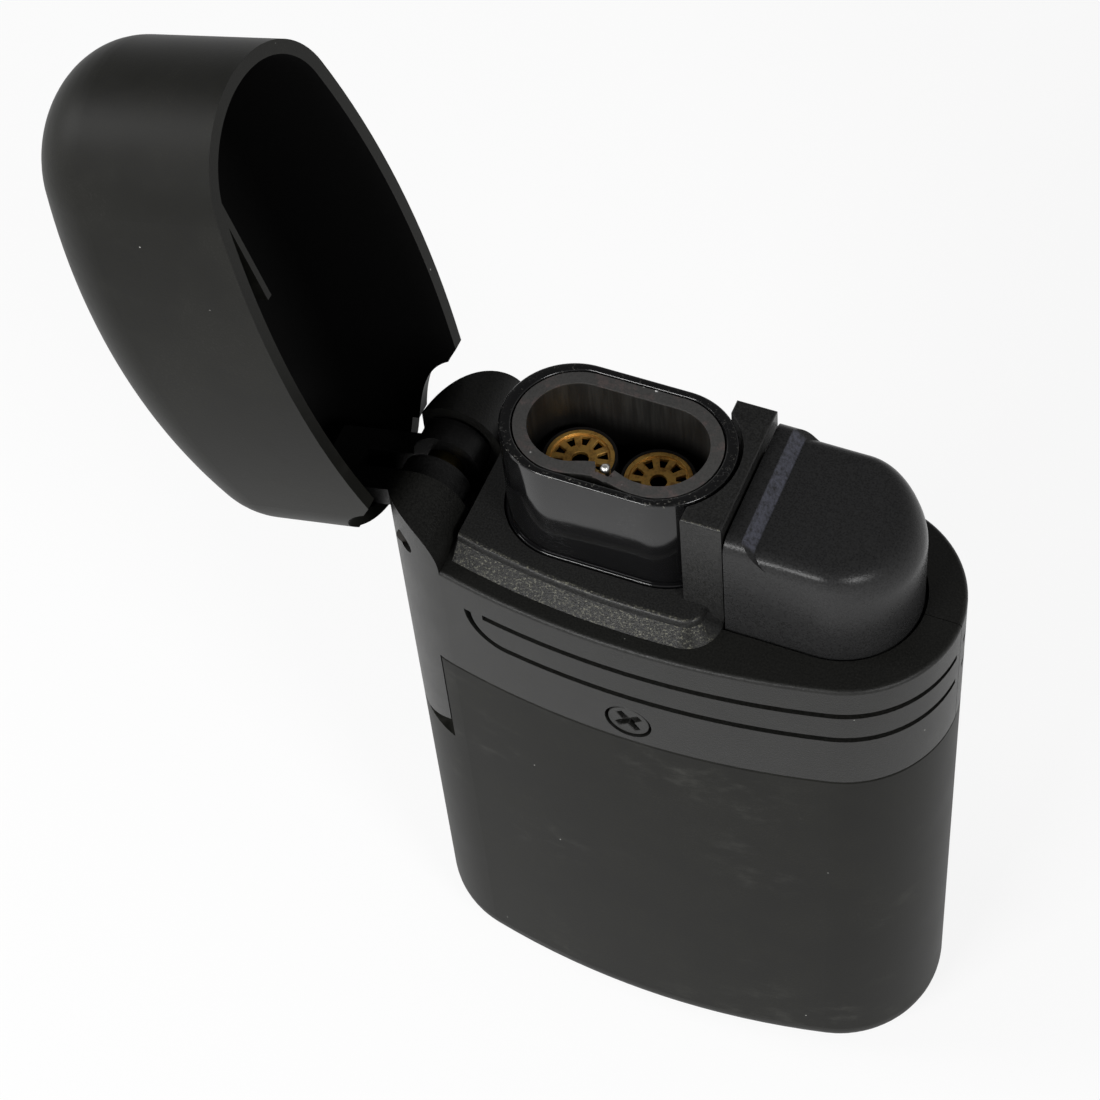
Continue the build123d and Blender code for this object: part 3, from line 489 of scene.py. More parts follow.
    def plain_mesh(self, name: str) -> bpy.types.Mesh:
        """Turn the finished tree's result into a plain mesh.

        Args:
            name: The mesh's name.

        Returns:
            The mesh.
        """
        holder = bpy.data.objects.new(name + "_tree", bpy.data.meshes.new(name + "_tree"))
        bpy.context.scene.collection.objects.link(holder)
        modifier = holder.modifiers.new("tree", "NODES")
        modifier.node_group = self.group
        for identifier, value in self.values.items():
            modifier[identifier] = value
        graph = bpy.context.evaluated_depsgraph_get()
        mesh = bpy.data.meshes.new_from_object(holder.evaluated_get(graph))
        bpy.data.objects.remove(holder)
        mesh.name = name
        return mesh

    def piece(
        self, name: str, geometry: Sock, finish: bpy.types.Material, bevel: float = 0.0
    ) -> bpy.types.Object:
        """Finish the tree and turn its result into a plain mesh object.

        Args:
            name: The object's name.
            geometry: The geometry, in millimetres.
            finish: Its material.
            bevel: The width of a small bevel on its sharp edges, in millimetres, or 0 for none.

        Returns:
            The finished piece, at the origin.
        """
        values = {"Geometry": geometry, "Scale": (MM, MM, MM)}
        geometry = self.node("GeometryNodeTransform", None, values)
        values = {0: geometry, 2: True}
        geometry = self.node("GeometryNodeSetShadeSmooth", {"domain": "FACE"}, values)
        sharp = self.node("GeometryNodeInputMeshEdgeAngle").above(SMOOTH_ANGLE)
        values = {0: geometry, 1: sharp, 2: False}
        geometry = self.node("GeometryNodeSetShadeSmooth", {"domain": "EDGE"}, values)
        geometry = self.node("GeometryNodeRealizeInstances", None, {0: geometry})
        values = {0: geometry, 2: self.given("Finish", finish)}
        geometry = self.node("GeometryNodeSetMaterial", None, values)
        self.node("NodeGroupOutput", None, {0: geometry})
        mesh = self.plain_mesh(name)
        made = bpy.data.objects.new(name, mesh)
        bpy.context.scene.collection.objects.link(made)
        if bevel > 0.0:
            edge = made.modifiers.new("bevel", "BEVEL")
            edge.width = bevel * MM
            edge.segments = 2
            edge.limit_method = "ANGLE"
            edge.angle_limit = BEVEL_ANGLE
        log.info("%s has %d faces", name, len(mesh.polygons))
        return made


# ------------------------------------------------------------------------------ finishes
@dataclass(frozen=True)
class SoftTouch:
    """Soft-touch black coating: mottling, smudges and a little dust; given a hollow, the surfaces
    that face it get near-black painted shade.
    """

    name: str
    hollow_centre: Point | None = None
    base: Colour = (0.0074, 0.0074, 0.0061)
    smudge: Colour = (0.050, 0.050, 0.045)
    rubbed: Colour = (0.020, 0.020, 0.0175)
    dust: Colour = (0.42, 0.42, 0.40)
    # Near-black painted shade for the surfaces that face the hollow.
    hollow_shade: Colour = (0.0022, 0.0022, 0.0022)
    hollow_dust: Colour = (0.12, 0.12, 0.12)
    roughness: float = 0.48
    specular: float = 0.10
    dust_share: float = 0.2
    smudge_share: float = 0.6
    mottle_size: float = 7.0
    streak_size: float = 3.2
    dust_spacing: float = 1.7
    grain: float = 0.16

    def make(self) -> bpy.types.Material:
        """Build the material.

        Returns:
            The finished material.
        """
        tree = ShaderTree(self.name)
        place = tree.place()
        mottle = tree.noise(place, self.mottle_size, detail=3.0, rough=0.6)
        streaks = tree.noise(tree.place((1.0, 1.0, 1.9)), self.streak_size, detail=6.0, rough=0.7)
        smudges = streaks.step(0.48, 0.78) * tree.noise(place, 12.0).step(0.47, 0.66)
        dust = tree.specks(place, spacing=self.dust_spacing, radius=0.055, share=self.dust_share)
        dust = dust * tree.noise(place, 9.0).step(0.4, 0.56)
        fine = tree.noise(place, self.grain, rough=0.6)
        shade = tree.shades(mottle.step(0.3, 0.7), self.base, 0.85, 1.2)
        rubbed = fine.step(0.52, 0.7) * mottle.step(0.4, 0.6) * 0.35
        shade = tree.mix(rubbed, shade, self.rubbed)
        shade = tree.mix(smudges * self.smudge_share, shade, self.smudge)
        shade = tree.mix(dust, shade, self.dust)
        rough = self.roughness + (mottle - 0.5) * 0.1 + smudges * 0.1
        outer = tree.principled(
            Base_Color=shade,
            Roughness=rough,
            Normal=tree.bump(fine, strength=0.35, distance=0.02),
            Specular_IOR_Level=self.specular,
        )
        if self.hollow_centre is None:
            return tree.done(outer)
        # Inside: painted shade with a few specks of fluff.
        fluff_and_shade = tree.specks(place, spacing=self.dust_spacing, radius=0.04, share=0.06)
        fluff_and_shade = tree.mix(fluff_and_shade, self.hollow_shade, self.hollow_dust)
        inner = tree.principled(Base_Color=fluff_and_shade, Roughness=0.75, Specular_IOR_Level=0.1)
        values = {0: tree.hollow_shade(self.hollow_centre), 1: outer, 2: inner}
        return tree.done(tree.node("ShaderNodeMixShader", None, values))


@dataclass(frozen=True)
class PowderCoat:
    """Grained matte black metal; it may also carry painted glints: light flecks on the surfaces
    that face up and to the front.
    """

    name: str
    base: Colour = (0.0080, 0.0080, 0.0072)
    scuffed: Colour = (0.06, 0.06, 0.056)
    dust: Colour = (0.3, 0.3, 0.27)
    # Colour of the painted glints.
    glint_colour: Colour = (0.22, 0.215, 0.165)
    grain: float = 0.15
    depth: float = 0.03
    strength: float = 0.85
    roughness: float = 0.42
    specular: float = 0.29
    scuffs: float = 0.35
    # How strong the painted glints are; 0 leaves them out.
    painted_glint: float = 0.0

    def make(self) -> bpy.types.Material:
        """Build the material.

        Returns:
            The finished material.
        """
        tree = ShaderTree(self.name)
        place = tree.place()
        lumps = tree.noise(place, self.grain, detail=3.0, rough=0.7)
        cloud = tree.noise(place, 3.5, detail=3.0, rough=0.6)
        scuff = tree.noise(tree.place((0.5, 1.0, 1.6)), 0.8, detail=5.0, rough=0.8)
        scuff = scuff.step(0.64, 0.8) * self.scuffs
        dust = tree.specks(place, spacing=1.4, radius=0.06, share=0.12)
        shade = tree.shades(lumps.step(0.35, 0.65), self.base, 0.6, 1.45)
        shade = tree.mix(scuff * cloud.step(0.45, 0.6), shade, self.scuffed)
        shade = tree.mix(dust, shade, self.dust)
        # Painted glints: light flecks only on surfaces that face up and to the front, towards the
        # front lamp.
        if self.painted_glint > 0.0:
            forward = (0.0 - tree.axis(tree.facing(), 1)).step(0.12, 0.3)
            lit_slope = forward * tree.axis(tree.facing(), 2).step(0.55, 0.8)
            glint_noise = tree.noise(tree.place((0.8, 1.0, 1.3)), 0.17, detail=3.0, rough=0.8)
            shade = tree.mix(lit_slope * glint_noise.step(0.5, 0.72) * self.painted_glint, shade, self.glint_colour)
        return tree.surface(
            Base_Color=shade,
            Roughness=self.roughness + (lumps - 0.5) * 0.25 + (cloud - 0.5) * 0.08,
            Normal=tree.bump(lumps, strength=self.strength, distance=self.depth),
            Specular_IOR_Level=self.specular,
        )


@dataclass(frozen=True)
class GlossBlack:
    """Glossy black lacquer with a scratched edge, and white and brassy specks near its foot."""

    name: str
    foot: float
    rim: float
    base: Colour = (0.0045, 0.0045, 0.0048)
    scratched: Colour = (0.06, 0.06, 0.06)
    chipped: Colour = (0.14, 0.135, 0.12)
    white: Colour = (0.6, 0.6, 0.58)
    gold: Colour = (0.75, 0.34, 0.08)
    roughness: float = 0.09

    def make(self) -> bpy.types.Material:
        """Build the material.

        Returns:
            The finished material.
        """
        tree = ShaderTree(self.name)
        place = tree.place()
        height = tree.axis(place, 2)
        low = height.fall(self.foot + 1.5, self.foot + 4.0)
        edge = height.step(self.rim - 0.28, self.rim - 0.05)
        scratch = tree.hairs((0.4, 0.4, 6.0), 0.5, 0.012)
        chips = tree.noise(place, 0.3, detail=4.0, rough=0.75).step(0.58, 0.7) * edge
        wave = tree.noise(place, 2.2)
        white = tree.specks(place, spacing=1.1, radius=0.06, share=0.2) * low
        gold = tree.specks(tree.place((1.0, 1.0, 1.13)), spacing=2.1, radius=0.12, share=0.3) * low
        shade = tree.mix(scratch * 0.4, self.base, self.scratched)
        front = (0.0 - tree.axis(place, 1)).step(2.5, 4.0)
        shade = tree.mix(chips * (front + 0.35), shade, self.chipped)
        shade = tree.mix(white, shade, self.white)
        shade = tree.mix(gold, shade, self.gold)
        rough = self.roughness + scratch * 0.2 + chips * 0.3
        return tree.surface(
            Base_Color=shade,
            Roughness=rough + (white + gold) * 0.3 + edge * 0.1,
            Normal=tree.bump(wave + chips * 0.2, strength=0.16, distance=0.06),
        )


@dataclass(frozen=True)
class BurnerMetal:
    """Grey-brown metal that turns darker towards the bottom: drawn streaks down the wall, a worn
    rim with warm patches.
    """

    name: str
    rim: float
    base: Colour = (0.026, 0.0255, 0.0235)
    worn: Colour = (0.080, 0.078, 0.075)
    warm: Colour = (0.13, 0.10, 0.095)
    dull: Colour = (0.02, 0.02, 0.02)
    # The near-black that the wall turns to towards the bottom.
    dark_tone: Colour = (0.008, 0.007, 0.0065)
    bright: Colour = (0.75, 0.75, 0.74)

    def make(self) -> bpy.types.Material:
        """Build the material.

        Returns:
            The finished material.
        """
        tree = ShaderTree(self.name)
        place = tree.place()
        height = tree.axis(place, 2)
        at_rim = height.step(self.rim - 0.22, self.rim - 0.06)
        streaks = tree.noise(tree.place((1.0, 1.0, 0.07)), 0.4, detail=3.0, rough=0.6)
        patch = tree.noise(place, 1.5, detail=4.0, rough=0.7)
        fine = tree.noise(place, 0.12, detail=3.0, rough=0.65)
        # Darker towards the bottom: darkest from 5.5 mm below the rim, fading out 0.8 mm below it.
        dark_tone = height.fall(self.rim - 5.5, self.rim - 0.8)
        bright = tree.specks(place, spacing=0.9, radius=0.11, share=0.16) * at_rim
        shade = tree.shades(streaks.step(0.35, 0.7), self.base, 0.5, 1.1)
        shade = tree.mix(dark_tone * 0.85, shade, self.dark_tone)
        top = tree.mix(patch.step(0.5, 0.66), self.worn, self.warm)
        top = tree.mix(fine.step(0.35, 0.6) * 0.6, tree.mix(0.5, top, self.dull), top)
        shade = tree.mix(at_rim, shade, top)
        shade = tree.mix(bright, shade, self.bright)
        return tree.surface(
            Base_Color=shade,
            Metallic=0.3 - at_rim * 0.1,
            Roughness=0.4 + fine * 0.16 + at_rim * 0.05,
            Normal=tree.bump(streaks * 0.6 + fine * 0.5, strength=0.5, distance=0.03),
        )


@dataclass(frozen=True)
class DullBrass:
    """Stamped golden brass with soot in its low places and worn bright spots."""

    name: str
    base: Colour = (0.98, 0.58, 0.15)
    dark: Colour = (0.55, 0.27, 0.07)
    spots: Colour = (0.85, 0.62, 0.22)

    def make(self) -> bpy.types.Material:
        """Build the material.

        Returns:
            The finished material.
        """
        tree = ShaderTree(self.name)
        place = tree.place()
        dark_tone = tree.noise(place, 0.7, detail=4.0, rough=0.7)
        fine = tree.noise(place, 0.16, detail=3.0, rough=0.6)
        shade = tree.mix(dark_tone.step(0.45, 0.68), self.base, self.dark)
        shade = tree.mix(fine.step(0.58, 0.7) * 0.6, shade, self.spots)
        return tree.surface(
            Base_Color=shade,
            Metallic=0.7,
            Roughness=0.36 + dark_tone * 0.2,
            Normal=tree.bump(fine, strength=0.5, distance=0.025),
        )


@dataclass(frozen=True)
class SatinButton:
    """Fine-grained black moulding, worn bluish grey on the short ramp behind its lip."""

    name: str
    ramp_start: float
    ramp_end: float
    half_width: float
    base: Colour = (0.0172, 0.0172, 0.0174)
    worn: Colour = (0.075, 0.077, 0.098)
    dust: Colour = (0.35, 0.35, 0.34)
    roughness: float = 0.29
    specular: float = 0.18

    def make(self) -> bpy.types.Material:
        """Build the material.

        Returns:
            The finished material.
        """
        tree = ShaderTree(self.name)
        place = tree.place()
        along = tree.axis(place, 0)
        band = along.step(self.ramp_start - 0.05, self.ramp_start + 0.08)
        band = band * along.fall(self.ramp_end, self.ramp_end + 0.12)
        band = band * tree.axis(place, 1).size().fall(self.half_width - 0.9, self.half_width - 0.5)
        patchy = tree.noise(place, 0.35, detail=5.0, rough=0.8)
        fine = tree.noise(place, 0.14, rough=0.6)
        cloud = tree.noise(place, 4.0, detail=3.0, rough=0.6)
        dust = tree.specks(place, spacing=1.8, radius=0.05, share=0.1)
        shade = tree.shades(fine.step(0.3, 0.7), self.base, 0.75, 1.3)
        shade = tree.mix(band * patchy.step(0.3, 0.62), shade, self.worn)
        shade = tree.mix(dust, shade, self.dust)
        rough = self.roughness + band * 0.15
        return tree.surface(
            Base_Color=shade,
            Roughness=rough + (cloud - 0.5) * 0.08 + (fine - 0.5) * 0.2,
            Normal=tree.bump(fine + patchy * band, strength=0.7, distance=0.022),
            Specular_IOR_Level=self.specular,
        )


@dataclass(frozen=True)
class PlainMetal:
    """Machined or drawn metal with fine lines and light tarnish."""

    name: str
    metal: "Metal"
    roughness: float = 0.32

    def make(self) -> bpy.types.Material:
        """Build the material.

        Returns:
            The finished material.
        """
        tree = ShaderTree(self.name)
        place = tree.place()
        tarnish = tree.noise(place, 1.4, detail=4.0, rough=0.65)
        lines = tree.noise(tree.place((1.0, 1.0, 12.0)), 0.6)
        shade = tree.shades(tarnish.step(0.4, 0.75), self.metal.value, 1.0, 0.55)
        return tree.surface(
            Base_Color=shade,
            Metallic=1.0,
            Roughness=self.roughness + (tarnish - 0.5) * 0.2,
            Normal=tree.bump(lines, strength=0.2, distance=0.01),
        )


@dataclass(frozen=True)
class Moulded:
    """Plain moulded plastic, rubber, ceramic or felt with its own fine grain."""

    name: str
    base: Colour
    roughness: float = 0.5
    grain: float = 0.25
    depth: float = 0.02

    def make(self) -> bpy.types.Material:
        """Build the material.

        Returns:
            The finished material.
        """
        tree = ShaderTree(self.name)
        place = tree.place()
        fine = tree.noise(place, self.grain, detail=3.0, rough=0.6)
        cloud = tree.noise(place, self.grain * 12.0)
        shade = tree.shades(cloud, self.base, 0.82, 1.0)
        return tree.surface(
            Base_Color=shade,
            Roughness=self.roughness + (cloud - 0.5) * 0.12,
            Normal=tree.bump(fine, strength=0.4, distance=self.depth),
        )


# ------------------------------------------------------------------------------ helpers for pieces
def dress(material: bpy.types.Material, *nodes: str) -> None:
    """Give CAD nodes a material.

    Args:
        material: The finish.
        nodes: The nodes' names.
    """
    for name in nodes:
        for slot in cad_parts[name].material_slots:
            slot.material = material
        log.info("dressed %s", name)


def top_of(node: str) -> float:
    """A node's highest point in millimetres."""
    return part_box(node)[1][2] / MM


# ------------------------------------------------------------------------------ sub-assemblies
class Metal(Enum):
    """Plain metals by the colour of their clean surface, except the two hinge colours: tarnished
    and darkened further with painted shade.
    """

    BRASS = (0.64, 0.45, 0.19)
    # Tarnished brass darkened further: painted shade for the hinge bush in its dark recess.
    SHADED_OLD_BRASS = (0.07, 0.055, 0.022)
    STEEL = (0.56, 0.56, 0.57)
    BRIGHT = (0.82, 0.82, 0.80)
    # Browned steel darkened further: painted shade for the hinge pin in its dark recess.
    SHADED_BROWNED = (0.018, 0.016, 0.013)


@dataclass
class Casing:
    """The lower shell, the collar halves, their screws and the hinge ears."""

    head_height: float = 0.7
    head_radius: float = 1.64
    shank_radius: float = 0.9
    shank_length: float = 3.8
    cross_half_length: float = 1.18
    cross_half_width: float = 0.34
    cross_depth: float = 0.6
    cross_turn: float = 38.0
    bevel: float = 0.06

    def screws(self, finish: bpy.types.Material) -> bpy.types.Object:
        """Make the two cross-head screws of the collar.

        Args:
            finish: The screws' material.

        Returns:
            Both screws as one piece.
        """
        low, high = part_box("collar_screws")
        tree = PieceTree("collar_screws_tree")
        radius = tree.given("Head radius", self.head_radius)
        height = tree.given("Head height", self.head_height)
        shank = tree.given("Shank radius", self.shank_radius)
        length = tree.given("Shank length", self.shank_length)
        half_length = tree.given("Cross half length", self.cross_half_length)
        half_width = tree.given("Cross half width", self.cross_half_width)
        depth = tree.given("Cross depth", self.cross_depth)
        face = tree.given("Face distance", high[1] / MM)
        level = tree.given("Level", (low[2] + high[2]) / 2 / MM)
        arm = tree.wedge(0.0, half_length, half_width, half_width * 0.8, depth * -1.0, 1.0)
        cross = tree.ring_of(arm, tree.given("Arms", 4), self.cross_turn / 90.0)
        head = tree.cut(tree.post(radius, height * -1.0, 0.0, 64), cross)
        screw = tree.join(head, tree.post(shank, (height + length) * -1.0, height * -1.0, 40))
        index = tree.node("GeometryNodeInputIndex")
        side = index * 2.0 - 1.0
        values = {"Count": 2, "Position": tree.point(0.0, side * face, level)}
        line = tree.node("GeometryNodePoints", None, values)
        turn = tree.point(side * (-tau / 4), 0.0, 0.0)
        values = {"Points": line, "Instance": screw, "Rotation": turn}
        both = tree.node("GeometryNodeInstanceOnPoints", None, values)
        return tree.piece("casing_screws", both, finish, self.bevel)

    def build(self) -> None:
        """Make the screws and dress every casing piece."""
        dress(SoftTouch("shell_finish").make(), "lower_shell")
        dress(PowderCoat("collar_finish").make(), "collar_front", "collar_rear")
        coat = PowderCoat("screw_finish", (0.0095, 0.0095, 0.0085), specular=0.33)
        screws = self.screws(coat.make())
        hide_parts("collar_screws")
        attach(screws, "case")


@dataclass
class Lid:
    """The lid shell with its knuckle, bush, pin and leaf spring."""

    def build(self) -> None:
        """Dress the lid and its hinge."""
        low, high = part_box("lid_shell")
        centre = tuple((low[axis] + high[axis]) / 2 / MM for axis in range(3))
        # The lid's inner surfaces get near-black painted shade.
        coat = SoftTouch("lid_finish_and_shade", centre, specular=0.14, smudge_share=0.12)
        dress(coat.make(), "lid_shell")
        # The knuckle, bush and pin are darker than their finishes: painted shade for the hinge
        # recess.
        dress(PowderCoat("knuckle_finish_and_shade", (0.0065, 0.0065, 0.0065)).make(), "lid_knuckle")
        dress(PlainMetal("bush_finish_and_shade", Metal.SHADED_OLD_BRASS, roughness=0.4).make(), "hinge_bush")
        dress(PlainMetal("pin_finish_and_shade", Metal.SHADED_BROWNED, roughness=0.45).make(), "hinge_pin")
        dress(PlainMetal("leaf_finish", Metal.STEEL).make(), "lid_detent_spring")


@dataclass
class Burner:
    """The burner housing, shroud, chimney, flame discs and spark wire."""

    shroud_wall: float = 0.6
    shroud_rounding: float = 0.16
    foot_step: float = 0.15
    foot_height: float = 3.0
    thicker_ends: float = 0.33
    chimney_wall: float = 1.0
    dent_x: float = -4.1
    dent_half_width: float = 3.0
    dent_depth: float = 0.75
    dent_height: float = 3.5
    outer_dent_depth: float = 0.5
    notch_x: float = -3.63
    notch_half_width: float = 0.65
    notch_depth: float = 0.95
    rim_wobble: float = 0.09
    rim_bevel: float = 0.1
    disc_thickness: float = 0.5
    disc_rim: float = 0.33
    disc_rim_height: float = 0.16
    disc_hole: float = 0.62
    disc_slots: int = 10
    disc_bevel: float = 0.04
    cutter_reach: float = 1.0
    slot_inner: float = 1.25
    slot_outer: float = 2.0
    slot_inner_half: float = 0.16
    slot_outer_half: float = 0.36

    def oval(self, node: str, margin: float) -> tuple[float, float, float]:
        """Read a slot-shaped node's outline.

        Args:
            node: The node's name.
            margin: How far its box reaches past the outline.

        Returns:
            The outline's middle along X, half the length of its straights and the radius of its
            ends, in millimetres.
        """
        low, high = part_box(node)
        radius = (high[1] - low[1]) / 2 / MM - margin
        half_straight = (high[0] - low[0]) / 2 / MM - margin - radius
        return (low[0] + high[0]) / 2 / MM, half_straight, radius

    def shroud(self, finish: bpy.types.Material) -> bpy.types.Object:
        """Make the burner shroud: a thin oval wall with a thicker foot.

        Args:
            finish: Its material.

        Returns:
            The shroud.
        """
        low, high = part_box("burner_shroud")
        middle, straight, radius = self.oval("burner_shroud", self.foot_step)
        tree = PieceTree("shroud_tree")
        half = tree.given("Half straight", straight)
        outer = tree.given("Outer radius", radius)
        wall = tree.given("Wall", self.shroud_wall)
        bottom = tree.given("Bottom", low[2] / MM)
        top = tree.given("Top", high[2] / MM)
        rounding = tree.given("Rounding", self.shroud_rounding)
        step = tree.given("Foot step", self.foot_step)
        foot_top = tree.given("Foot top", low[2] / MM + self.foot_height)
        points = tree.given("Points round", 160)
        body = tree.oval_wall(half, outer, wall, bottom, top, rounding, points)
        foot = tree.oval_wall(half, outer + step, wall * 0.6, bottom, foot_top, step * 0.8, points)
        x, y, _ = (tree.axis(tree.position(), index) for index in range(3))
        beyond = (x.size() - half).larger(0.0)
        reach = (beyond * beyond + y * y).root()
        inner = (reach - outer + wall * 0.6).fall(-0.02, 0.02)
        extra = tree.given("Thicker ends", self.thicker_ends)
        thicker = x.sign() * beyond.step(0.0, 2.0) * inner * extra
        body = tree.shift(body, tree.point(0.0 - thicker, 0.0, 0.0))
        both = tree.moved(tree.join(body, foot), x=tree.given("Middle", middle))
        return tree.piece("burner_shroud_wall", both, finish)

    def chimney(self, finish: bpy.types.Material) -> bpy.types.Object:
        """Make the chimney: an oval wall with an uneven rim, dented round the spark notch.

        Args:
            finish: Its material.

        Returns:
            The chimney.
        """
        low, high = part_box("burner_chimney")
        middle, straight, radius = self.oval("burner_chimney", 0.0)
        tree = PieceTree("chimney_tree")
        half = tree.given("Half straight", straight)
        outer = tree.given("Outer radius", radius)
        wall = tree.given("Wall", self.chimney_wall)
        bottom = tree.given("Bottom", low[2] / MM)
        top = tree.given("Top", high[2] / MM)
        body = tree.oval_wall(half, outer, wall, bottom, top, None, tree.given("Points round", 220))
        body = tree.moved(body, x=tree.given("Middle", middle))
        place = tree.position()
        x, y, z = (tree.axis(place, index) for index in range(3))
        depth = tree.given("Dent height", self.dent_height)
        upper = (z - top + depth).step(-0.6, 0.3) * (0.0 - y).step(1.5, 2.5)
        inner = (y + outer - wall * 0.5).step(-0.05, 0.05)
        across = (x - tree.given("Dent x", self.dent_x)).size()
        dent = across.fall(0.0, tree.given("Dent half width", self.dent_half_width))
        from_notch = (x - tree.given("Notch x", self.notch_x)).size()
        from_notch = from_notch - tree.given("Notch half width", self.notch_half_width)
        notch = from_notch.fall(-0.15, 0.1)
        dent_depth = tree.given("Dent depth", self.dent_depth)
        notch_depth = tree.given("Notch depth", self.notch_depth)
        outer_depth = tree.given("Outer dent depth", self.outer_dent_depth)
        inward = inner * (dent * dent_depth - notch * notch_depth)
        inward = inward + (1.0 - inner) * dent * outer_depth
        wobble = (tree.noise(place, 1.6) - 0.5) * tree.given("Wobble", self.rim_wobble)
        rim = (z - top).step(-1.2, -0.2)
        lift = rim * wobble - rim * self.rim_wobble * 0.4
        body = tree.shift(body, tree.point(0.0, inward * upper, lift))
        return tree.piece("chimney_wall", body, finish, self.rim_bevel)

    def disc(self, side: str, finish: bpy.types.Material) -> bpy.types.Object:
        """Make a flame disc: a raised rim, a centre hole and a ring of tapered slots.

        Args:
            side: "left" or "right".
            finish: Its material.

        Returns:
            The disc.
        """
        low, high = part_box("flame_disc_" + side)
        tree = PieceTree("disc_tree_" + side)
        radius = tree.given("Radius", (high[1] - low[1]) / 2 / MM)
        top = tree.given("Top", high[2] / MM)
        bottom = top - tree.given("Thickness", self.disc_thickness)
        dish = radius - tree.given("Rim", self.disc_rim)
        floor = top - tree.given("Rim height", self.disc_rim_height)
        above = top + self.cutter_reach
        under = bottom - self.cutter_reach
        slot = tree.wedge(
            tree.given("Slot inner", self.slot_inner),
            tree.given("Slot outer", self.slot_outer),
            tree.given("Slot inner half", self.slot_inner_half),
            tree.given("Slot outer half", self.slot_outer_half),
            under,
            above,
        )
        slots = tree.ring_of(slot, tree.given("Slots", self.disc_slots), 0.25)
        hole = tree.post(tree.given("Hole", self.disc_hole), under, above, 40)
        plate = tree.post(radius, bottom, top, 96)
        disc = tree.cut(plate, tree.post(dish, floor, above, 96), hole, slots)
        disc = tree.moved(disc, x=tree.given("Middle", (low[0] + high[0]) / 2 / MM))
        return tree.piece("flame_plate_" + side, disc, finish, self.disc_bevel)

    def build(self) -> None:
        """Make and dress the burner."""
        # The housing's front slope gets painted glints.
        coat = PowderCoat(
            "housing_finish_and_glints",
            (0.0160, 0.0160, 0.0156),
            grain=0.14,
            strength=0.6,
            roughness=0.33,
            specular=0.2,
            painted_glint=0.7,
        )
        dress(coat.make(), "burner_housing")
        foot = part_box("burner_shroud")[0][2] / MM
        shroud = self.shroud(GlossBlack("shroud_finish", foot, top_of("burner_shroud")).make())
        chimney = self.chimney(BurnerMetal("chimney_finish", top_of("burner_chimney")).make())
        brass = DullBrass("disc_finish").make()
        made = [(shroud, "burner_shroud", "shroud_black"), (chimney, "burner_chimney", "gunmetal")]
        for side in ("left", "right"):
            made.append((self.disc(side, brass), "flame_disc_" + side, "disc_brass"))
        for piece, node, slot in made:
            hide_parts(node)
            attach(piece, "case")
        dark_tone = Moulded("tube_finish", (0.012, 0.010, 0.009), roughness=0.6, grain=0.12).make()
        dress(dark_tone, "burner_tube_left", "burner_tube_right")
        dress(PlainMetal("strip_finish", Metal.BRASS).make(), "ground_strip", "burner_manifold")
        dress(PlainMetal("jet_finish", Metal.BRASS).make(), "gas_jet_left", "gas_jet_right")
        dress(PlainMetal("spark_wire_finish", Metal.BRIGHT, roughness=0.4).make(), "electrode_wire")
        dress(Moulded("insulator_finish", (0.7, 0.68, 0.62)).make(), "electrode_insulator")


@dataclass
class Igniter:
    """The button, the igniter under it and the lead to the spark wire."""

    lip_width: float = 1.15
    ramp: float = 0.85
    side_rounding: float = 0.8

    def build(self) -> None:
        """Dress the button and the igniter."""
        low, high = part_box("button")
        start = low[0] / MM + self.lip_width
        half_width = (high[1] - low[1]) / 2 / MM - self.side_rounding
        dress(SatinButton("button_finish", start, start + self.ramp, half_width).make(), "button")
        dress(Moulded("igniter_finish", (0.02, 0.02, 0.02), roughness=0.3).make(), "piezo_body")
        dress(Moulded("plunger_finish", (0.7, 0.7, 0.66), roughness=0.35).make(), "piezo_plunger")
        coils = PlainMetal("coil_finish", Metal.STEEL).make()
        dress(coils, "piezo_spring", "valve_spring", "fill_valve_spring")
        dress(Moulded("lead_finish", (0.4, 0.04, 0.03), roughness=0.4).make(), "electrode_lead")


@dataclass
class GasGear:
    """The chassis, the tank and the valves."""

    def build(self) -> None:
        """Dress the inner pieces and those that show in the base."""
        dress(Moulded("chassis_finish", (0.14, 0.14, 0.15)).make(), "chassis")
        clear = Moulded("tank_finish", (0.5, 0.51, 0.48), roughness=0.35).make()
        dress(clear, "fuel_tank", "tank_cover")
        felt = Moulded("felt_finish", (0.7, 0.68, 0.6), roughness=0.9, grain=0.12).make()
        dress(felt, "gas_filter")
        rubber = Moulded("seal_finish", (0.02, 0.02, 0.02), roughness=0.7).make()
        dress(rubber, "stem_seal", "adjuster_seal", "gas_hose")
        gasket = Moulded("gasket_finish", (0.015, 0.015, 0.015), roughness=0.75).make()
        dress(gasket, "fill_valve_gasket")
        brass = PlainMetal("valve_finish", Metal.BRASS).make()
        dress(brass, "gas_valve_body", "valve_stem", "fill_valve_body", "flame_adjuster")
        steel = PlainMetal("steel_finish", Metal.STEEL).make()
        dress(steel, "gas_lever", "lever_pin", "fill_valve_stem")


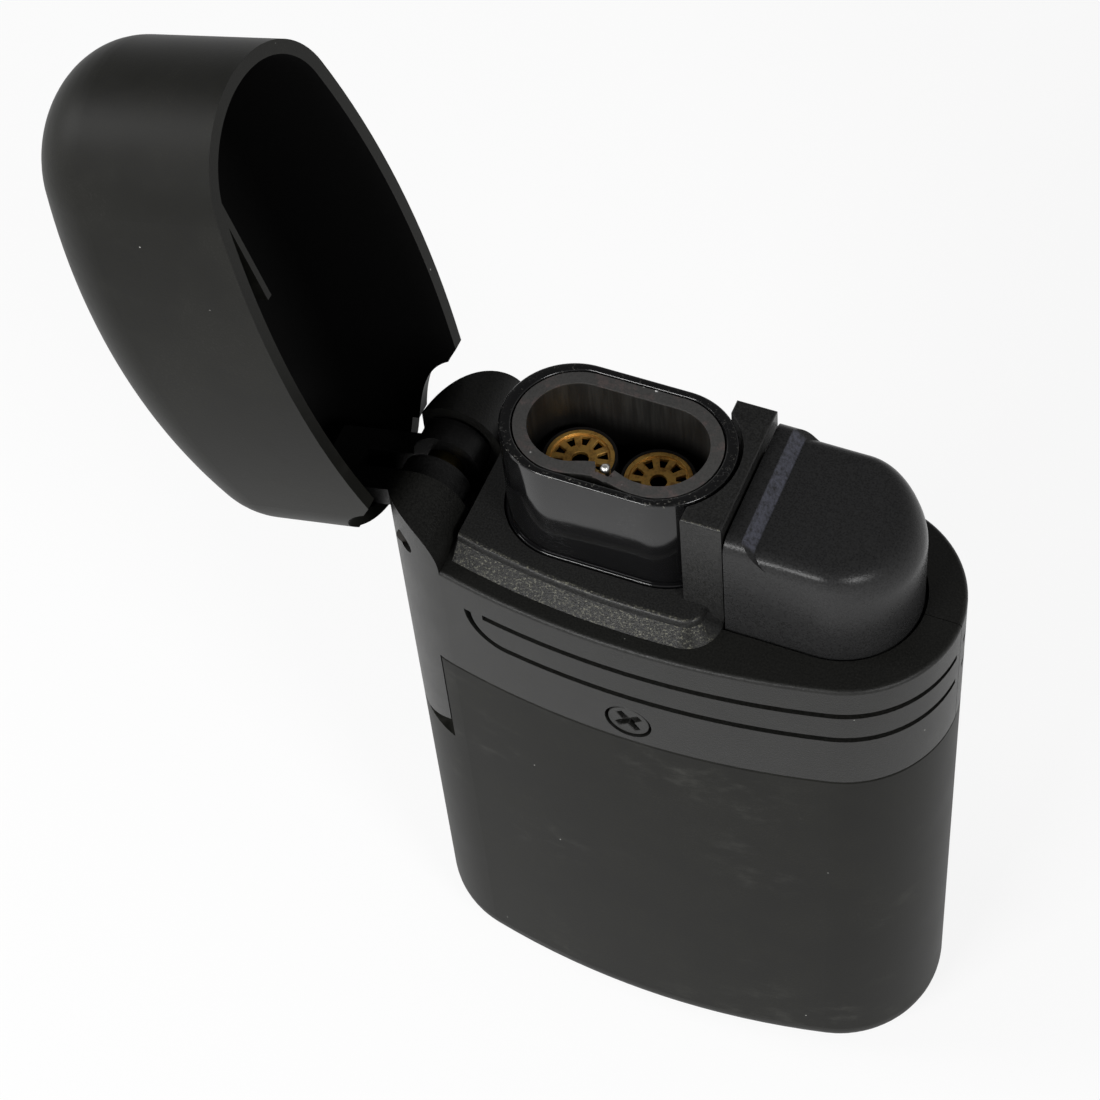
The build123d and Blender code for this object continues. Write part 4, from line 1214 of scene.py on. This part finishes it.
# ------------------------------------------------------------------------------ studio
@dataclass
class Studio:
    """The floor, the lamps, the world and the camera."""

    target: Point = (-0.01046, 0.00029, 0.04857)
    azimuth: float = 28.0
    elevation: float = 54.08
    roll: float = -6.57
    distance: float = 0.2322
    lens: float = 100.15
    sensor: float = 36.0
    nearest: float = 0.01
    lamp_aim: Point = (0.0, 0.0, 0.05)
    front_power: float = 1.7
    side_power: float = 1.15
    floor_glow: float = 0.86
    floor_half: float = 3.0
    floor_gap: float = 0.0001

    def build(self) -> None:
        """Set the stage."""
        scene = bpy.context.scene
        scene.view_settings.view_transform = "Standard"
        self.floor()
        self.world()
        self.lamp("front_softbox", (-0.14, -0.42, 0.30), (0.22, 0.10), self.front_power)
        self.lamp("left_softbox", (-0.45, -0.10, 0.30), (0.22, 0.20), self.side_power)
        self.lamp("right_softbox", (0.38, -0.24, 0.32), (0.14, 0.16), self.side_power)
        self.camera()

    def camera(self) -> None:
        """Place the camera on its orbit round the target."""
        turn, rise, roll = radians(self.azimuth), radians(self.elevation), radians(self.roll)
        back = Vector((sin(turn) * cos(rise), -cos(turn) * cos(rise), sin(rise)))
        right = Vector((cos(turn), sin(turn), 0.0))
        up = back.cross(right)
        rolled_right = right * cos(roll) + up * sin(roll)
        rolled_up = up * cos(roll) - right * sin(roll)
        lens = bpy.data.cameras.new("camera")
        lens.lens = self.lens
        lens.sensor_width = self.sensor
        lens.clip_start = self.nearest
        camera = bpy.data.objects.new("camera", lens)
        bpy.context.scene.collection.objects.link(camera)
        place = Matrix((rolled_right, rolled_up, back)).transposed().to_4x4()
        place.translation = Vector(self.target) + back * self.distance
        camera.matrix_world = place
        bpy.context.scene.camera = camera

    def lamp(self, name: str, place: Point, size: tuple[float, float], power: float) -> None:
        """Add an area lamp that faces the lighter.

        Args:
            name: The lamp's name.
            place: Its centre in metres.
            size: Its width and height in metres.
            power: Its power in watts.
        """
        light = bpy.data.lights.new(name, "AREA")
        light.shape = "RECTANGLE"
        light.size, light.size_y = size
        light.energy = power
        lamp = bpy.data.objects.new(name, light)
        lamp.location = place
        aim = Vector(self.lamp_aim) - Vector(place)
        lamp.rotation_euler = aim.to_track_quat("-Z", "Y").to_euler()
        bpy.context.scene.collection.objects.link(lamp)

    def floor(self) -> None:
        """A wide pale floor that the camera sees as white outside the shadow."""
        half = self.floor_half
        mesh = bpy.data.meshes.new("floor")
        outline = [(-half, -half), (half, -half), (half, half), (-half, half)]
        corners = [(x, y, -self.floor_gap) for x, y in outline]
        mesh.from_pydata(corners, [], [(0, 1, 2, 3)])
        floor = bpy.data.objects.new("floor", mesh)
        bpy.context.scene.collection.objects.link(floor)
        tree = ShaderTree("floor_finish")
        matte = tree.node("ShaderNodeBsdfDiffuse", None, {"Color": (0.9, 0.9, 0.9)})
        glow = tree.node("ShaderNodeEmission", None, {"Color": (1.0, 1.0, 1.0), "Strength": 1.0})
        seen = tree.node("ShaderNodeLightPath", output="Is Camera Ray")
        seen = seen.larger(tree.node("ShaderNodeLightPath", output="Is Glossy Ray"))
        seen = seen.larger(tree.node("ShaderNodeLightPath", output="Is Transmission Ray"))
        values = {0: seen * self.floor_glow, 1: matte, 2: glow}
        shader = tree.node("ShaderNodeMixShader", None, values)
        mesh.materials.append(tree.done(shader))

    def world(self) -> None:
        """A dim room: light near the horizon, darker overhead."""
        world = bpy.data.worlds.new("room")
        bpy.context.scene.world = world
        world.use_nodes = True
        tree = NodeTree(world.node_tree)
        where = tree.node("ShaderNodeTexCoord", output="Generated")
        stops = [(0.0, (0.7, 0.7, 0.7)), (0.75, (0.1, 0.1, 0.1))]
        colour = tree.node("ShaderNodeValToRGB", {"stops": stops}, {0: tree.axis(where, 2)})
        light = tree.node("ShaderNodeBackground", None, {0: colour})
        tree.node("ShaderNodeOutputWorld", None, {0: light})


def main() -> None:
    """Build the lighter's sub-assemblies and the studio, in order."""
    logging.basicConfig(level=logging.INFO, format="%(name)s: %(message)s")
    for part in (Casing(), Lid(), Burner(), Igniter(), GasGear()):
        part.build()
        log.info("%s is ready", type(part).__name__)
    Studio().build()


if __name__ == "__main__":
    main()
